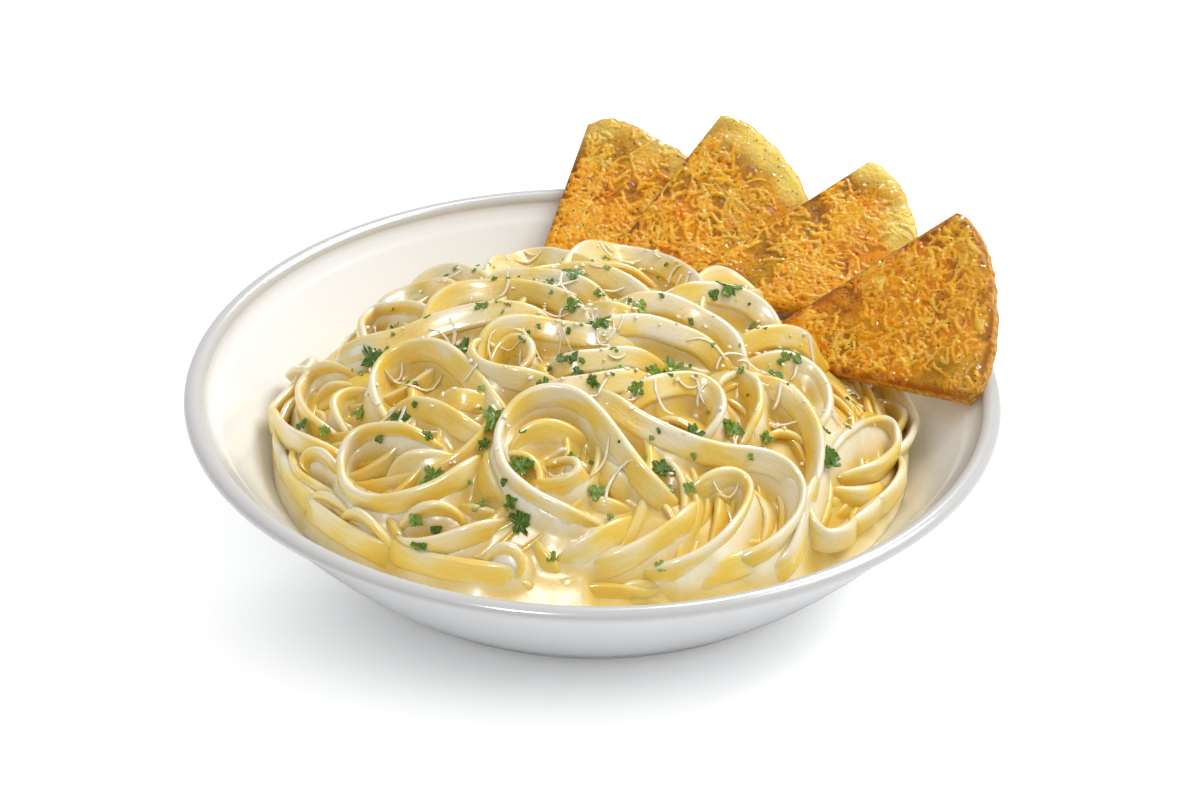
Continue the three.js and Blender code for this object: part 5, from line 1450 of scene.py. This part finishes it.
def freshParsley():
    # chopped fresh leaf: waxy green skin, its green varying from leaf to leaf and along fine veins
    material, tree, surface = newMaterial("freshParsley")
    place = addNode(tree, "ShaderNodeTexCoord").outputs["Object"]
    tone = addNode(tree, "ShaderNodeAttribute", attribute_name="tone").outputs["Fac"]
    vein = addNode(tree, "ShaderNodeTexNoise", {
        "Vector": place, "Scale": cellsOf(parsley["veinSize"]), "Detail": 2}).outputs["Fac"]
    mix = addNode(tree, "ShaderNodeMath", {0: tone, 1: vein, 2: 0.2}, operation="MULTIPLY_ADD").outputs[0]
    colour = addNode(tree, "ShaderNodeValToRGB", {"Fac": mix}, stops=parsley["green"])
    bump = addNode(tree, "ShaderNodeBump", {
        "Height": vein, "Strength": 0.4, "Distance": parsley["veinDepth"] * mm})
    setInputs(tree, surface, {
        "IOR": 1.45, "Specular IOR Level": 0.35, "Roughness": 0.42, "Base Color": colour.outputs["Color"],
        "Normal": bump.outputs["Normal"]})
    return material


makeParsley(freshParsley())
print("parsley strewn")

cheese = {
    "shreds": 110, "lengths": (5, 15), "bends": (-0.42, 0.42), "steps": 7,
    "width": 1.1, "widthShare": (0.6, 1.3), "thickness": 0.4, "lift": 0.12,
    "grains": 300, "grainSizes": (0.35, 0.95), "seed": 19,
    "middle": (4, 4), "spread": 80, "stretch": 1.1, "evenness": 0.7, "fromBread": 5,  # where they lie
    "ages": [(0.35, "#F5E6BE"), (0.65, "#FAF0D6")], "ageSize": 6.25,
}
# a crumb of cheese: a point below, four corners round the middle, a point on top and four more
# between it and the corners
crumbPoints = np.array([
    [0, 0, -1], [1.5, 0, 0], [0, 1, 0], [-1.5, 0, 0], [0, -1, 0], [0, 0, 1],
    [0.95, 0.65, 0.5], [-0.95, 0.65, 0.5], [-0.95, -0.65, 0.5], [0.95, -0.65, 0.5]])
crumbFaces = [
    [0, 2, 1], [0, 3, 2], [0, 4, 3], [0, 1, 4], [1, 2, 6], [2, 3, 7], [3, 4, 8], [4, 1, 9],
    [6, 2, 5], [2, 7, 5], [7, 3, 5], [3, 8, 5], [8, 4, 5], [4, 9, 5], [9, 1, 5], [1, 6, 5]]


def cheeseShred(rng):
    # a bent strip that tapers at both ends: its points and faces
    x, y = crumbPlace(cheese, rng)
    steps = cheese["steps"]
    stride = rng.uniform(*cheese["lengths"]) / steps
    heading = rng.uniform(0, 2 * math.pi)
    bend = rng.uniform(*cheese["bends"])
    width = cheese["width"] * rng.uniform(*cheese["widthShare"]) / 2
    spine, sides = [], []
    for _ in range(steps + 1):
        spine.append((x, y))
        sides.append((-math.sin(heading), math.cos(heading)))
        x, y = x + math.cos(heading) * stride, y + math.sin(heading) * stride
        heading += bend
    spine, sides = np.array(spine), np.array(sides)
    z = restOn(spine[:, 0], spine[:, 1])
    z = np.convolve(np.pad(z, 1, mode="edge"), [0.25, 0.5, 0.25], "valid") + cheese["lift"]
    taper = np.sin(np.linspace(0.25, math.pi - 0.25, steps + 1)) ** 0.4
    edges = []
    for out, up in ((-1, -1), (-0.7, 1), (0.7, 1), (1, -1)):
        edge = spine + sides * (out * width * taper)[:, None]
        edges.append(np.column_stack([edge, z + up * cheese["thickness"] / 2 * taper]))
    n = steps + 1
    faces = []
    for k in range(4):
        a, b = k * n, (k + 1) % 4 * n
        faces += [[a + i, b + i, b + i + 1, a + i + 1] for i in range(steps)]
    faces += [[k * n for k in range(4)], [k * n + steps for k in (3, 2, 1, 0)]]
    return np.concatenate(edges), faces


def cheeseCrumb(rng):
    x, y = crumbPlace(cheese, rng)
    size = rng.uniform(*cheese["grainSizes"])
    z = float(restOn(x, y)) + 0.35 * size
    turn = rng.uniform(0, math.pi)
    shape = crumbPoints * size * rng.uniform(0.85, 1.15, (len(crumbPoints), 1))
    across, along, up = shape.T
    points = [across * math.cos(turn) - along * math.sin(turn) + x,
              across * math.sin(turn) + along * math.cos(turn) + y, up * 0.8 + z]
    return np.column_stack(points), crumbFaces


def makeCheese(material):
    rng = np.random.default_rng(cheese["seed"])
    points, faces, start = [], [], 0
    for makeOne in [cheeseShred] * cheese["shreds"] + [cheeseCrumb] * cheese["grains"]:
        onePoints, oneFaces = makeOne(rng)
        points.append(onePoints)
        faces += [[start + i for i in face] for face in oneFaces]
        start += len(onePoints)
    piece = pieceFromArrays("cheeseShreds", np.concatenate(points), faces)
    finishPiece(piece, material, "pasta")


def shreddedCheese():
    # shredded hard cheese, half melted: waxy, pale and slightly see-through
    material, tree, surface = newMaterial("shreddedCheese")
    place = addNode(tree, "ShaderNodeTexCoord").outputs["Object"]
    age = addNode(tree, "ShaderNodeTexNoise", {
        "Vector": place, "Scale": cellsOf(cheese["ageSize"]), "Detail": 2})
    colour = addNode(tree, "ShaderNodeValToRGB", {"Fac": age.outputs["Fac"]}, stops=cheese["ages"])
    setInputs(tree, surface, {
        "IOR": 1.45, "Roughness": 0.3, "Subsurface Weight": 0.4, "Subsurface Radius": (1.0, 0.8, 0.45),
        "Subsurface Scale": 2 * mm, "Base Color": colour.outputs["Color"]})
    return material


makeCheese(shreddedCheese())
print("cheese strewn")
